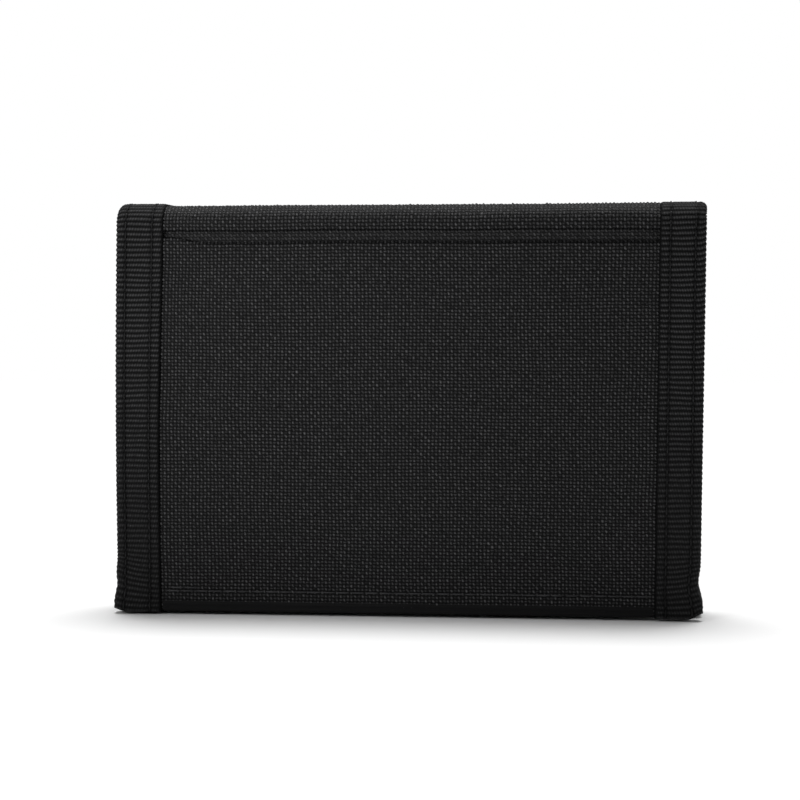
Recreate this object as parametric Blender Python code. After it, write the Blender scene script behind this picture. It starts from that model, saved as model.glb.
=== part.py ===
"""Trifold wallet of coarse nylon, closed and standing on its long bottom fold.

Frame: X runs along the folds, Y through the thickness (the front flap faces -Y), Z is up.
The origin is the middle of the footprint, on the surface that the wallet stands on.

One strip of nylon makes the whole outside: front flap, top fold, back panel, bottom fold and
inner flap. The front flap hangs from the top fold. The inner flap stands up from the bottom
fold, between the front flap and the back panel. Units are metres.
"""

import math

import bmesh
import bpy

# ---------------------------------------------------------------- overall size
WIDTH = 0.127               # along the folds
HEIGHT = 0.089              # from the bottom fold to the top fold
TOP_RADIUS = 0.005          # outside round of the two top creases
BASE_RADIUS = 0.0015        # outside round of the two bottom creases
INNER_FLAP_DROP = 0.028     # top of the wallet down to the inner flap's free edge
FRONT_FLAP_BOTTOM = 0.0006  # the front flap hangs clear of the table by this

# ---------------------------------------------------------------- sheet thicknesses
SHELL = 0.0009              # woven outer nylon
STIFFENER = 0.0005          # plastic sheet behind the shell of a panel
LINING = 0.0004             # inner nylon, which is also the bill divider
COIN_PANEL = 0.0005         # front of the coin pocket
CARD_POCKET = 0.0004
WINDOW = 0.0003             # clear film over the identity card
WINDOW_FRAME = 0.0004
TAPE_OUTSIDE = 0.0006       # binding tape where it covers the outside
TAPE_INSIDE = 0.0005        # binding tape where it covers the inside
TAPE_WEB = 0.0006           # binding tape across the cut edge
HEM = 0.0004                # narrow bindings: pocket mouths, divider edges, flap ends

# ---------------------------------------------------------------- clearances
LAYER_GAP = 0.0003          # between sheets that are sewn together
TAPE_GAP = 0.00025          # between a binding and the sheets inside it
BILL_GAP = 0.00105          # the bill compartment, empty
FLAP_GAP = 0.0009           # front flap to inner flap
PANEL_GAP = 0.0006          # inner flap to back panel
JOIN_GAP = 0.0003           # end to end, between the pieces of two panels

# ---------------------------------------------------------------- bindings
TAPE_WIDTH = 0.0097         # binding tape seen on the face of a panel
DIVIDER_BINDING = 0.004     # width of the binding along the bill opening
END_BINDING = 0.0026        # height of the binding across a flap's free end
HEM_HEIGHT = 0.0045         # height of the hem at a pocket's mouth

# ---------------------------------------------------------------- pockets, window, closure
CARD_POCKET_DROP = 0.019    # top of the wallet down to the rearmost card pocket's mouth
CARD_POCKET_STEP = 0.0085   # each pocket in front is this much lower
CARD_POCKETS = 3
WINDOW_INSET = 0.0048       # window film, inside the binding tapes' inner edges
WINDOW_MARGIN = 0.005       # window frame: width of its border
WINDOW_RISE = 0.0006        # window above the inner flap's lower end
CLOSURE_WIDTH = 0.060       # hook strip and loop strip, along the folds
CLOSURE_HEIGHT = 0.015
CLOSURE_RISE = 0.0055       # lower edge of both strips
COIN_PANEL_RISE = 0.0225    # lower seam of the coin pocket

# ---------------------------------------------------------------- zip
ZIP_DROP = 0.013            # top of the wallet down to the zip's centre line
ZIP_TAPE = 0.0004           # thickness
ZIP_TAPE_WIDTH = 0.005      # each side
ZIP_SPLIT = 0.001           # between the two sides
ZIP_WINDOW = 0.006          # gap between the coin pocket's two panels
COIL_WIDTH = 0.0013
COIL_HEIGHT = 0.0011
COIL_INSET = 0.0043         # coil's closed end, inside the lining's binding
STOP_LENGTH = 0.002
STOP_OVERHANG = 0.0004      # a stop is this much taller and wider than the coil
SLIDER_LENGTH = 0.008
SLIDER_SPARE = 0.0012       # coil left past the slider at each end of its travel
SLIDER_PLATE = 0.0006       # top plate
SLIDER_SOLE = 0.0005        # bottom plate, under the zip tapes
SLIDER_SOLE_HALF = 0.0023
SLIDER_NECK_HALF = 0.0002
SLIDER_FLANGE = 0.0007      # side flanges that hold the coil
CROWN_HALF_LENGTH = 0.00305
CROWN_POST = 0.0009
CROWN_BAR = 0.0007
CROWN_HALF_WIDTH = 0.0008
PULL_THICKNESS = 0.0007
PULL_LENGTH = 0.015
PULL_HALF_WIDTH = 0.0024
PULL_CROSSBAR_HALF = 0.0006
PULL_HOLE = 0.003           # length of the hole that the crown passes through
PULL_CLEAR = 0.0025         # pull tab to the left binding tape, with the zip open

ARC_STEPS = 8               # segments in each quarter round

# ---------------------------------------------------------------- sheets, front to back
FRONT_LAYERS = [
    ("tape_front", TAPE_OUTSIDE, TAPE_GAP),
    ("shell", SHELL, LAYER_GAP),
    ("stiffener", STIFFENER, BILL_GAP),
    ("lining", LINING, LAYER_GAP),
    ("coin_panel", COIN_PANEL, TAPE_GAP),
    ("tape_back", TAPE_INSIDE, FLAP_GAP),
]
INNER_LAYERS = [
    ("tape_front", TAPE_INSIDE, TAPE_GAP),
    ("shell", SHELL, LAYER_GAP),
    ("lining", LINING, LAYER_GAP),
    ("window", WINDOW, LAYER_GAP),
    ("window_frame", WINDOW_FRAME, TAPE_GAP),
    ("tape_back", TAPE_INSIDE, PANEL_GAP),
]
BACK_LAYERS = (
    [("tape_front", TAPE_INSIDE, TAPE_GAP)]
    + [(f"card_pocket_{n}", CARD_POCKET, LAYER_GAP) for n in range(CARD_POCKETS, 0, -1)]
    + [
        ("divider", LINING, BILL_GAP),
        ("lining", LINING, LAYER_GAP),
        ("stiffener", STIFFENER, LAYER_GAP),
        ("shell", SHELL, TAPE_GAP),
        ("tape_back", TAPE_OUTSIDE, 0.0),
    ]
)


def stack(start, layers):
    """Lay sheets one behind another from y = start; give each one's (front, back) and the end."""
    places = {}
    y = start
    for name, thickness, gap in layers:
        places[name] = (y, y + thickness)
        y += thickness + gap
    return places, y


THICKNESS = sum(thickness + gap for _, thickness, gap in FRONT_LAYERS + INNER_LAYERS + BACK_LAYERS)
FRONT, inner_start = stack(-THICKNESS / 2, FRONT_LAYERS)
INNER, back_start = stack(inner_start, INNER_LAYERS)
BACK, back_end = stack(back_start, BACK_LAYERS)
FACE = FRONT["tape_front"][0]                   # outermost face of the front flap
REAR = BACK["tape_back"][1]                     # outermost face of the back panel

# ---------------------------------------------------------------- places along X
EDGE = WIDTH / 2                                # outer face of the binding tapes
SHEET_EDGE = EDGE - TAPE_WEB - LAYER_GAP        # cut edge of the sheets inside a tape
TAPE_EDGE = EDGE - TAPE_WIDTH                   # inner edge of the binding tapes
MOUTH = TAPE_EDGE - JOIN_GAP                    # linings stop here at the bill opening
MOUTH_SHEET = MOUTH - HEM - LAYER_GAP           # cut edge of the linings there
DIVIDER_EDGE = MOUTH - DIVIDER_BINDING          # inner edge of the binding along that edge

# ---------------------------------------------------------------- places along Z
FOLD_DEPTH = FRONT["lining"][1] + TAPE_GAP + TAPE_INSIDE - FACE
TOP_END = HEIGHT - max(FOLD_DEPTH, TOP_RADIUS) - 0.0005     # lower ends of the top fold
PANEL_TOP = TOP_END - JOIN_GAP
BASE_LINING = TAPE_OUTSIDE + TAPE_GAP + SHELL + LAYER_GAP   # underside of the bottom fold's lining
BASE_DEPTH = BASE_LINING + LINING + TAPE_GAP + TAPE_INSIDE
BASE_END = BASE_DEPTH + 0.001                               # upper ends of the bottom fold
PANEL_BOTTOM = BASE_END + JOIN_GAP
INNER_FLAP_TOP = HEIGHT - INNER_FLAP_DROP
CARD_POCKET_TOP = HEIGHT - CARD_POCKET_DROP                 # mouth of the rearmost pocket

# ---------------------------------------------------------------- hinge lines
# A crease turns about a line inside its round corner, so that the fabric keeps its length.
CREASE_INSET = 1 - math.pi / 4
TOP_CREASE_Z = HEIGHT - CREASE_INSET * TOP_RADIUS
BACK_CREASE = (0.0, REAR - CREASE_INSET * TOP_RADIUS, TOP_CREASE_Z)
FRONT_CREASE = (0.0, FACE + CREASE_INSET * TOP_RADIUS, TOP_CREASE_Z)
INNER_FACE = INNER["tape_front"][0]
INNER_CREASE = (0.0, INNER_FACE + CREASE_INSET * BASE_RADIUS, CREASE_INSET * BASE_RADIUS)

# ---------------------------------------------------------------- zip places along X and Z
ZIP_HEIGHT = HEIGHT - ZIP_DROP
COIL_CLOSED_END = DIVIDER_EDGE - COIL_INSET
SLIDER_REST = COIL_CLOSED_END - SLIDER_SPARE - SLIDER_LENGTH / 2    # pocket closed
SLIDER_OPEN = PULL_LENGTH + PULL_CLEAR - MOUTH                      # pocket open
COIL_OPEN_END = SLIDER_OPEN - SLIDER_LENGTH / 2 - SLIDER_SPARE

# ---------------------------------------------------------------- zip places along Y
ZIP_TAPE_Y = FRONT["coin_panel"][1] + LAYER_GAP
COIL_Y = ZIP_TAPE_Y + ZIP_TAPE + LAYER_GAP
COIL_TOP = COIL_Y + COIL_HEIGHT
SOLE_Y = FRONT["lining"][1] + LAYER_GAP
PLATE_Y = COIL_TOP + LAYER_GAP
PLATE_TOP = PLATE_Y + SLIDER_PLATE
CROWN_OPENING = PULL_THICKNESS + 2 * LAYER_GAP
CROWN_TOP = PLATE_TOP + CROWN_OPENING + CROWN_BAR
PULL_Y = PLATE_TOP + CROWN_OPENING / 2

# ---------------------------------------------------------------- materials
LOOKS = {
    "shell_nylon": ((0.022, 0.022, 0.023), 0.62, 0.0),
    "lining_nylon": ((0.018, 0.018, 0.019), 0.55, 0.0),
    "binding_tape": ((0.020, 0.020, 0.021), 0.70, 0.0),
    "hem_nylon": ((0.014, 0.014, 0.015), 0.50, 0.0),
    "stiffener_plastic": ((0.05, 0.05, 0.05), 0.45, 0.0),
    "window_film": ((0.80, 0.83, 0.84), 0.12, 0.0),
    "hook_tape": ((0.030, 0.030, 0.031), 0.45, 0.0),
    "loop_tape": ((0.022, 0.022, 0.023), 0.95, 0.0),
    "zip_tape": ((0.018, 0.018, 0.019), 0.80, 0.0),
    "zip_coil": ((0.020, 0.020, 0.021), 0.35, 0.0),
    "zip_metal": ((0.16, 0.16, 0.165), 0.32, 1.0),
}


def make_material(name):
    colour, roughness, metallic = LOOKS[name]
    material = bpy.data.materials.new(name)
    material.use_nodes = True
    shader = material.node_tree.nodes["Principled BSDF"]
    shader.inputs["Base Color"].default_value = (*colour, 1.0)
    shader.inputs["Roughness"].default_value = roughness
    shader.inputs["Metallic"].default_value = metallic
    return material


# ---------------------------------------------------------------- building blocks
def make_hinge(name, position, parent=None):
    """An empty on a joint's axis, which carries the pieces that turn there."""
    hinge = bpy.data.objects.new(name, None)
    bpy.context.collection.objects.link(hinge)
    hinge.location = position
    if parent:
        hinge.parent = parent
        hinge.location = [p - q for p, q in zip(position, world_place(parent))]
    return hinge


def world_place(holder):
    """World position of an unturned object under unturned parents."""
    place = list(holder.location)
    while holder.parent:
        holder = holder.parent
        place = [a + b for a, b in zip(place, holder.location)]
    return place


def add_object(name, mesh, look, holder, position=(0.0, 0.0, 0.0)):
    """Put a mesh, whose points are relative to a world position, under its holder."""
    piece = bpy.data.objects.new(name, mesh)
    bpy.context.collection.objects.link(piece)
    mesh.materials.append(make_material(look))
    piece.parent = holder
    piece.location = [p - q for p, q in zip(position, world_place(holder))]
    return piece


def new_mesh(name, build):
    """Run a bmesh builder and make sure that the faces point out."""
    form = bmesh.new()
    build(form)
    bmesh.ops.recalc_face_normals(form, faces=form.faces)
    mesh = bpy.data.meshes.new(name)
    form.to_mesh(mesh)
    form.free()
    return mesh


def sheet(name, look, holder, x_span, y_span, z_span):
    """A flat sheet, with its origin in its middle."""
    spans = (x_span, y_span, z_span)
    middle = [(low + high) / 2 for low, high in spans]
    size = [high - low for low, high in spans]

    def build(form):
        bmesh.ops.create_cube(form, size=1.0)
        bmesh.ops.scale(form, vec=size, verts=form.verts)

    return add_object(name, new_mesh(name, build), look, holder, middle)


def extrude(name, look, holder, outline, axis, span):
    """Extrude an outline along "x" (points are y, z), "y" (x, z) or "z" (x, y)."""
    slot = "xyz".index(axis)

    def point(pair, along):
        values = list(pair)
        values.insert(slot, along)
        return values

    def build(form):
        face = form.faces.new([form.verts.new(point(pair, span[0])) for pair in outline])
        grown = bmesh.ops.extrude_face_region(form, geom=[face])
        moved = [item for item in grown["geom"] if isinstance(item, bmesh.types.BMVert)]
        shift = point((0.0, 0.0), span[1] - span[0])
        bmesh.ops.translate(form, vec=shift, verts=moved)

    return add_object(name, new_mesh(name, build), look, holder)


def channel(open_at, web_at, low, high, low_wall, high_wall, web):
    """U-shaped outline: (along, across) points, open at open_at, closed by a web at web_at."""
    inside = web_at - math.copysign(web, web_at - open_at)
    return [
        (open_at, low),
        (web_at, low),
        (web_at, high),
        (open_at, high),
        (open_at, high - high_wall),
        (inside, high - high_wall),
        (inside, low + low_wall),
        (open_at, low + low_wall),
    ]


def fold_path(left, right, level, end, radius):
    """Points (y, z) up one leg, across at a level and down the other leg, with round corners."""
    radius = max(radius, 0.0001)
    away = math.copysign(1.0, end - level)      # from the level towards the ends of the legs
    left_arc = []
    right_arc = []
    for step in range(ARC_STEPS + 1):
        turn = math.pi / 2 * step / ARC_STEPS
        sweep = radius * (1 - math.cos(turn))
        rise = radius * (1 - math.sin(turn))
        left_arc.append((left + sweep, level + away * rise))
        right_arc.insert(0, (right - sweep, level + away * rise))
    return [(left, end)] + left_arc + right_arc + [(right, end)]


def bent_sheet(name, look, holder, x_span, outer, inner):
    """A sheet that follows a fold, between an outer and an inner path."""
    return extrude(name, look, holder, outer + inner[::-1], "x", x_span)


def bent_tape(name, look, holder, open_at, web_at, paths):
    """Binding tape around the edge of a fold.

    paths are the tape's outside face, the two faces that the sheets lie between, and its inside
    face. The tape opens at x = open_at and its web closes it at x = web_at.
    """
    inside = web_at - math.copysign(TAPE_WEB, web_at)
    outer, first, second, inner = paths
    section = [
        (open_at, outer),
        (web_at, outer),
        (web_at, inner),
        (open_at, inner),
        (open_at, second),
        (inside, second),
        (inside, first),
        (open_at, first),
    ]

    def build(form):
        rings = []
        for station in range(len(outer)):
            rings.append([form.verts.new((x, *path[station])) for x, path in section])
        for ring, after in zip(rings, rings[1:]):
            for corner in range(len(section)):
                following = (corner + 1) % len(section)
                form.faces.new((ring[corner], ring[following], after[following], after[corner]))
        form.faces.new(rings[0][::-1])
        form.faces.new(rings[-1])

    return add_object(name, new_mesh(name, build), look, holder)


def side_tape(name, holder, side, y_low, y_high, walls, z_span):
    """Binding tape along one side of a flat panel; side is -1 for the left, +1 for the right."""
    outline = channel(side * TAPE_EDGE, side * EDGE, y_low, y_high, *walls, TAPE_WEB)
    return extrude(name, "binding_tape", holder, outline, "z", z_span)


def round_edges(piece, width, segments=2):
    bevel = piece.modifiers.new("rounded edges", "BEVEL")
    bevel.width = width
    bevel.segments = segments
    bevel.limit_method = "ANGLE"
    bevel.angle_limit = math.radians(40)
    return piece


def combine(piece, tool, operation):
    """Join a helper solid to a piece, or cut it out of the piece."""
    tool.hide_render = True
    tool.display_type = "WIRE"
    step = piece.modifiers.new(operation.lower(), "BOOLEAN")
    step.operation = operation
    step.solver = "EXACT"
    step.object = tool


# ---------------------------------------------------------------- back panel
def build_back_panel(holder):
    tall = (PANEL_BOTTOM, PANEL_TOP)
    full = (-SHEET_EDGE, SHEET_EDGE)
    to_mouth = (-SHEET_EDGE, MOUTH_SHEET)
    sheet("back_shell", "shell_nylon", holder, full, BACK["shell"], tall)
    sheet("back_stiffener", "stiffener_plastic", holder, full, BACK["stiffener"], tall)
    sheet("back_lining", "lining_nylon", holder, full, BACK["lining"], tall)
    sheet("bill_divider", "lining_nylon", holder, to_mouth, BACK["divider"], tall)
    walls = (TAPE_INSIDE, TAPE_OUTSIDE)
    side_tape("back_binding_left", holder, -1, BACK["tape_front"][0], REAR, walls, tall)
    mouth_side = BACK["lining"][0] - TAPE_GAP - TAPE_INSIDE
    side_tape("back_binding_right", holder, 1, mouth_side, REAR, walls, tall)
    low = BACK[f"card_pocket_{CARD_POCKETS}"][0] - TAPE_GAP - HEM
    high = BACK["divider"][1] + TAPE_GAP + HEM
    outline = channel(DIVIDER_EDGE, MOUTH, low, high, HEM, HEM, HEM)
    extrude("bill_divider_binding", "hem_nylon", holder, outline, "z", tall)


def build_card_pockets(holder):
    """Stepped card pockets on the bill divider; number 1 is the rearmost and the tallest."""
    for number in range(1, CARD_POCKETS + 1):
        name = f"card_pocket_{number}"
        top = CARD_POCKET_TOP - CARD_POCKET_STEP * (number - 1)
        front, back = BACK[name]
        sheet(name, "lining_nylon", holder, (-SHEET_EDGE, MOUTH_SHEET), (front, back), (PANEL_BOTTOM, top))
        face = front - TAPE_GAP - HEM
        outline = [
            (face, top - HEM_HEIGHT),
            (face + HEM, top - HEM_HEIGHT),
            (face + HEM, top + LAYER_GAP),
            (back, top + LAYER_GAP),
            (back, top + LAYER_GAP + HEM),
            (face, top + LAYER_GAP + HEM),
        ]
        span = (-TAPE_EDGE + JOIN_GAP, DIVIDER_EDGE - JOIN_GAP)
        extrude(f"{name}_hem", "hem_nylon", holder, outline, "x", span)


# ---------------------------------------------------------------- bottom fold
def build_bottom_fold(holder):
    def path(left, right, level):
        return fold_path(left, right, level, BASE_END, BASE_RADIUS - level)

    shell_level = TAPE_OUTSIDE + TAPE_GAP
    outer = path(INNER_FACE, REAR, 0.0)
    shell_out = path(INNER["shell"][0], BACK["shell"][1], shell_level)
    shell_in = path(INNER["shell"][1], BACK["shell"][0], shell_level + SHELL)
    lining_out = path(INNER["lining"][0], BACK["lining"][1], BASE_LINING)
    lining_in = path(INNER["lining"][1], BACK["lining"][0], BASE_LINING + LINING)
    full = (-SHEET_EDGE, SHEET_EDGE)
    bent_sheet("bottom_fold_shell", "shell_nylon", holder, full, shell_out, shell_in)
    bent_sheet("bottom_fold_lining", "lining_nylon", holder, full, lining_out, lining_in)
    first = path(INNER["tape_front"][1], BACK["tape_back"][0], TAPE_OUTSIDE)
    left_leg = INNER["lining"][1] + TAPE_GAP
    right_leg = BACK["lining"][0] - TAPE_GAP
    second = path(left_leg, right_leg, BASE_DEPTH - TAPE_INSIDE)
    inner = path(left_leg + TAPE_INSIDE, right_leg - TAPE_INSIDE, BASE_DEPTH)
    for side, word in ((-1, "left"), (1, "right")):
        name = f"bottom_fold_binding_{word}"
        paths = (outer, first, second, inner)
        bent_tape(name, "binding_tape", holder, side * TAPE_EDGE, side * EDGE, paths)


# ---------------------------------------------------------------- top fold
def build_top_fold(holder):
    def path(left, right):
        level = HEIGHT - (left - FACE)
        return fold_path(left, right, level, TOP_END, TOP_RADIUS - (left - FACE))

    outer = path(FACE, REAR)
    shell_out = path(FRONT["shell"][0], BACK["shell"][1])
    shell_in = path(FRONT["shell"][1], BACK["shell"][0])
    lining_out = path(FRONT["lining"][0], BACK["divider"][1])
    lining_in = path(FRONT["lining"][1], BACK["divider"][0])
    bent_sheet("top_fold_shell", "shell_nylon", holder, (-SHEET_EDGE, SHEET_EDGE), shell_out, shell_in)
    bent_sheet("top_fold_lining", "lining_nylon", holder, (-SHEET_EDGE, MOUTH), lining_out, lining_in)
    first = path(FRONT["tape_front"][1], BACK["tape_back"][0])
    # On the left the tape holds shell and lining together; on the right the bill opening
    # keeps the lining out of it.
    insides = {
        "left": (FRONT["lining"][1] + TAPE_GAP, BACK["divider"][0] - TAPE_GAP),
        "right": (FRONT["shell"][1] + TAPE_GAP, BACK["shell"][0] - TAPE_GAP),
    }
    for side, word in ((-1, "left"), (1, "right")):
        near, far = insides[word]
        second = path(near, far)
        inner = path(near + TAPE_INSIDE, far - TAPE_INSIDE)
        name = f"top_fold_binding_{word}"
        paths = (outer, first, second, inner)
        bent_tape(name, "binding_tape", holder, side * TAPE_EDGE, side * EDGE, paths)


# ---------------------------------------------------------------- front flap
def build_front_flap(holder):
    sheets = (FRONT_FLAP_BOTTOM + HEM + LAYER_GAP, PANEL_TOP)
    full = (-SHEET_EDGE, SHEET_EDGE)
    to_mouth = (-SHEET_EDGE, MOUTH_SHEET)
    sheet("front_flap_shell", "shell_nylon", holder, full, FRONT["shell"], sheets)
    sheet("front_flap_stiffener", "stiffener_plastic", holder, full, FRONT["stiffener"], sheets)
    sheet("front_flap_lining", "lining_nylon", holder, to_mouth, FRONT["lining"], sheets)
    tall = (FRONT_FLAP_BOTTOM, PANEL_TOP)
    walls = (TAPE_OUTSIDE, TAPE_INSIDE)
    side_tape("front_flap_binding_left", holder, -1, FACE, FRONT["tape_back"][1], walls, tall)
    mouth_side = FRONT["stiffener"][1] + TAPE_GAP + TAPE_INSIDE
    side_tape("front_flap_binding_right", holder, 1, FACE, mouth_side, walls, tall)
    low = FRONT["lining"][0] - TAPE_GAP - HEM
    high = FRONT["coin_panel"][1] + TAPE_GAP + HEM
    outline = channel(DIVIDER_EDGE, MOUTH, low, high, HEM, HEM, HEM)
    above_end = (FRONT_FLAP_BOTTOM + END_BINDING + JOIN_GAP, PANEL_TOP)
    extrude("front_flap_lining_binding", "hem_nylon", holder, outline, "z", above_end)
    low = FRONT["shell"][0] - TAPE_GAP - HEM
    high = FRONT["lining"][1] + TAPE_GAP + HEM
    top = FRONT_FLAP_BOTTOM + END_BINDING
    outline = channel(top, FRONT_FLAP_BOTTOM, low, high, HEM, HEM, HEM)
    swapped = [(across, along) for along, across in outline]
    extrude("front_flap_end_binding", "hem_nylon", holder, swapped, "x", (-MOUTH, MOUTH))


def build_coin_pocket(holder):
    to_mouth = (-SHEET_EDGE, MOUTH_SHEET)
    lower = (COIN_PANEL_RISE, ZIP_HEIGHT - ZIP_WINDOW / 2)
    upper = (ZIP_HEIGHT + ZIP_WINDOW / 2, PANEL_TOP)
    sheet("coin_pocket_lower_panel", "lining_nylon", holder, to_mouth, FRONT["coin_panel"], lower)
    sheet("coin_pocket_upper_panel", "lining_nylon", holder, to_mouth, FRONT["coin_panel"], upper)
    tape_y = (ZIP_TAPE_Y, ZIP_TAPE_Y + ZIP_TAPE)
    coil_y = (COIL_Y, COIL_TOP)
    tape_x = (-MOUTH, DIVIDER_EDGE - JOIN_GAP)
    coil_x = (COIL_OPEN_END, COIL_CLOSED_END)
    for way, word in ((-1, "lower"), (1, "upper")):
        near = ZIP_HEIGHT + way * ZIP_SPLIT / 2
        tape_z = sorted((near, near + way * ZIP_TAPE_WIDTH))
        coil_z = sorted((near, near + way * COIL_WIDTH))
        sheet(f"zip_tape_{word}", "zip_tape", holder, tape_x, tape_y, tape_z)
        coil = sheet(f"zip_coil_{word}", "zip_coil", holder, coil_x, coil_y, coil_z)
        round_edges(coil, COIL_WIDTH / 4)
    reach = ZIP_SPLIT / 2 + COIL_WIDTH + STOP_OVERHANG
    stop_y = (COIL_Y, COIL_TOP + STOP_OVERHANG)
    stop_z = (ZIP_HEIGHT - reach, ZIP_HEIGHT + reach)
    for word, near, way in (("closed", COIL_CLOSED_END, 1), ("open", COIL_OPEN_END, -1)):
        start = near + way * JOIN_GAP
        stop_x = sorted((start, start + way * STOP_LENGTH))
        stop = sheet(f"zip_stop_{word}_end", "zip_metal", holder, stop_x, stop_y, stop_z)
        round_edges(stop, STOP_LENGTH / 6)


def closure_thickness():
    """Hook and loop strips share the space between the two flaps' sheets."""
    return (INNER["shell"][0] - FRONT["lining"][1] - 3 * LAYER_GAP) / 2


def closure_strip(name, look, holder, front):
    x_span = (-CLOSURE_WIDTH / 2, CLOSURE_WIDTH / 2)
    y_span = (front, front + closure_thickness())
    z_span = (CLOSURE_RISE, CLOSURE_RISE + CLOSURE_HEIGHT)
    return sheet(name, look, holder, x_span, y_span, z_span)


# ---------------------------------------------------------------- zip slider and pull
def build_slider(holder):
    """Slider body: a sole under the tapes, a neck between them, a flanged plate and a crown."""
    flange_outer = ZIP_SPLIT / 2 + COIL_WIDTH + LAYER_GAP + SLIDER_FLANGE
    half = [
        (SOLE_Y, SLIDER_SOLE_HALF),
        (SOLE_Y + SLIDER_SOLE, SLIDER_SOLE_HALF),
        (SOLE_Y + SLIDER_SOLE, SLIDER_NECK_HALF),
        (PLATE_Y, SLIDER_NECK_HALF),
        (PLATE_Y, flange_outer - SLIDER_FLANGE),
        (COIL_Y, flange_outer - SLIDER_FLANGE),
        (COIL_Y, flange_outer),
        (PLATE_TOP, flange_outer),
    ]
    outline = [(y, ZIP_HEIGHT + z) for y, z in half] + [(y, ZIP_HEIGHT - z) for y, z in half[::-1]]
    start = SLIDER_REST - SLIDER_LENGTH / 2
    slider = extrude("zip_slider", "zip_metal", holder, outline, "x", (start, start + SLIDER_LENGTH))
    foot = PLATE_TOP - SLIDER_PLATE / 2
    opening = CROWN_HALF_LENGTH - CROWN_POST
    arch = [
        (-CROWN_HALF_LENGTH, foot),
        (-CROWN_HALF_LENGTH, CROWN_TOP),
        (CROWN_HALF_LENGTH, CROWN_TOP),
        (CROWN_HALF_LENGTH, foot),
        (opening, foot),
        (opening, CROWN_TOP - CROWN_BAR),
        (-opening, CROWN_TOP - CROWN_BAR),
        (-opening, foot),
    ]
    arch = [(SLIDER_REST + x, y) for x, y in arch]
    z_span = (ZIP_HEIGHT - CROWN_HALF_WIDTH, ZIP_HEIGHT + CROWN_HALF_WIDTH)
    crown = extrude("crown_helper", "zip_metal", holder, arch, "z", z_span)
    combine(slider, crown, "UNION")


def build_pull(holder):
    """Pull tab on the crown: a round-ended plate with a hole that the crown's post stands in."""
    straight = PULL_LENGTH - PULL_HALF_WIDTH
    outline = [(PULL_CROSSBAR_HALF, PULL_HALF_WIDTH)]
    for step in range(2 * ARC_STEPS + 1):
        turn = math.pi * step / (2 * ARC_STEPS)
        x = -straight - PULL_HALF_WIDTH * math.sin(turn)
        outline.append((x, PULL_HALF_WIDTH * math.cos(turn)))
    outline.append((PULL_CROSSBAR_HALF, -PULL_HALF_WIDTH))
    outline = [(SLIDER_REST + x, ZIP_HEIGHT + z) for x, z in outline]
    span = (PULL_Y - PULL_THICKNESS / 2, PULL_Y + PULL_THICKNESS / 2)
    pull = extrude("zip_pull_tab", "zip_metal", holder, outline, "y", span)
    hole_x = (SLIDER_REST - PULL_CROSSBAR_HALF - PULL_HOLE, SLIDER_REST - PULL_CROSSBAR_HALF)
    hole_y = (PULL_Y - PULL_THICKNESS, PULL_Y + PULL_THICKNESS)
    reach = CROWN_HALF_WIDTH + LAYER_GAP
    hole_z = (ZIP_HEIGHT - reach, ZIP_HEIGHT + reach)
    cutter = sheet("pull_hole_cutter", "zip_metal", holder, hole_x, hole_y, hole_z)
    combine(pull, cutter, "DIFFERENCE")


# ---------------------------------------------------------------- inner flap
def build_inner_flap(holder):
    full = (-SHEET_EDGE, SHEET_EDGE)
    sheets = (PANEL_BOTTOM, INNER_FLAP_TOP - HEM - LAYER_GAP)
    sheet("inner_flap_shell", "shell_nylon", holder, full, INNER["shell"], sheets)
    sheet("inner_flap_lining", "lining_nylon", holder, full, INNER["lining"], sheets)
    tall = (PANEL_BOTTOM, INNER_FLAP_TOP)
    walls = (TAPE_INSIDE, TAPE_INSIDE)
    for side, word in ((-1, "left"), (1, "right")):
        y_high = INNER["tape_back"][1]
        side_tape(f"inner_flap_binding_{word}", holder, side, INNER_FACE, y_high, walls, tall)
    low = INNER["shell"][0] - TAPE_GAP - HEM
    high = INNER["lining"][1] + TAPE_GAP + HEM
    below = INNER_FLAP_TOP - END_BINDING
    outline = channel(below, INNER_FLAP_TOP, low, high, HEM, HEM, HEM)
    swapped = [(across, along) for along, across in outline]
    extrude("inner_flap_end_binding", "hem_nylon", holder, swapped, "x", (-MOUTH, MOUTH))


def build_window(holder):
    """Clear window for an identity card, open at its top, and the frame sewn round it."""
    half = TAPE_EDGE - WINDOW_INSET
    low = PANEL_BOTTOM + WINDOW_RISE
    high = INNER_FLAP_TOP - END_BINDING - JOIN_GAP
    sheet("id_window", "window_film", holder, (-half, half), INNER["window"], (low, high))
    outer_half = half + WINDOW_MARGIN / 2
    frame = sheet(
        "id_window_frame", "hem_nylon", holder, (-outer_half, outer_half), INNER["window_frame"], (low, high)
    )
    opening = half - WINDOW_MARGIN
    front, back = INNER["window_frame"]
    cutter = sheet(
        "window_cutter", "hem_nylon", holder, (-opening, opening),
        (front - WINDOW_FRAME, back + WINDOW_FRAME), (low + WINDOW_MARGIN, high - WINDOW_MARGIN),
    )
    combine(frame, cutter, "DIFFERENCE")


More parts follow.
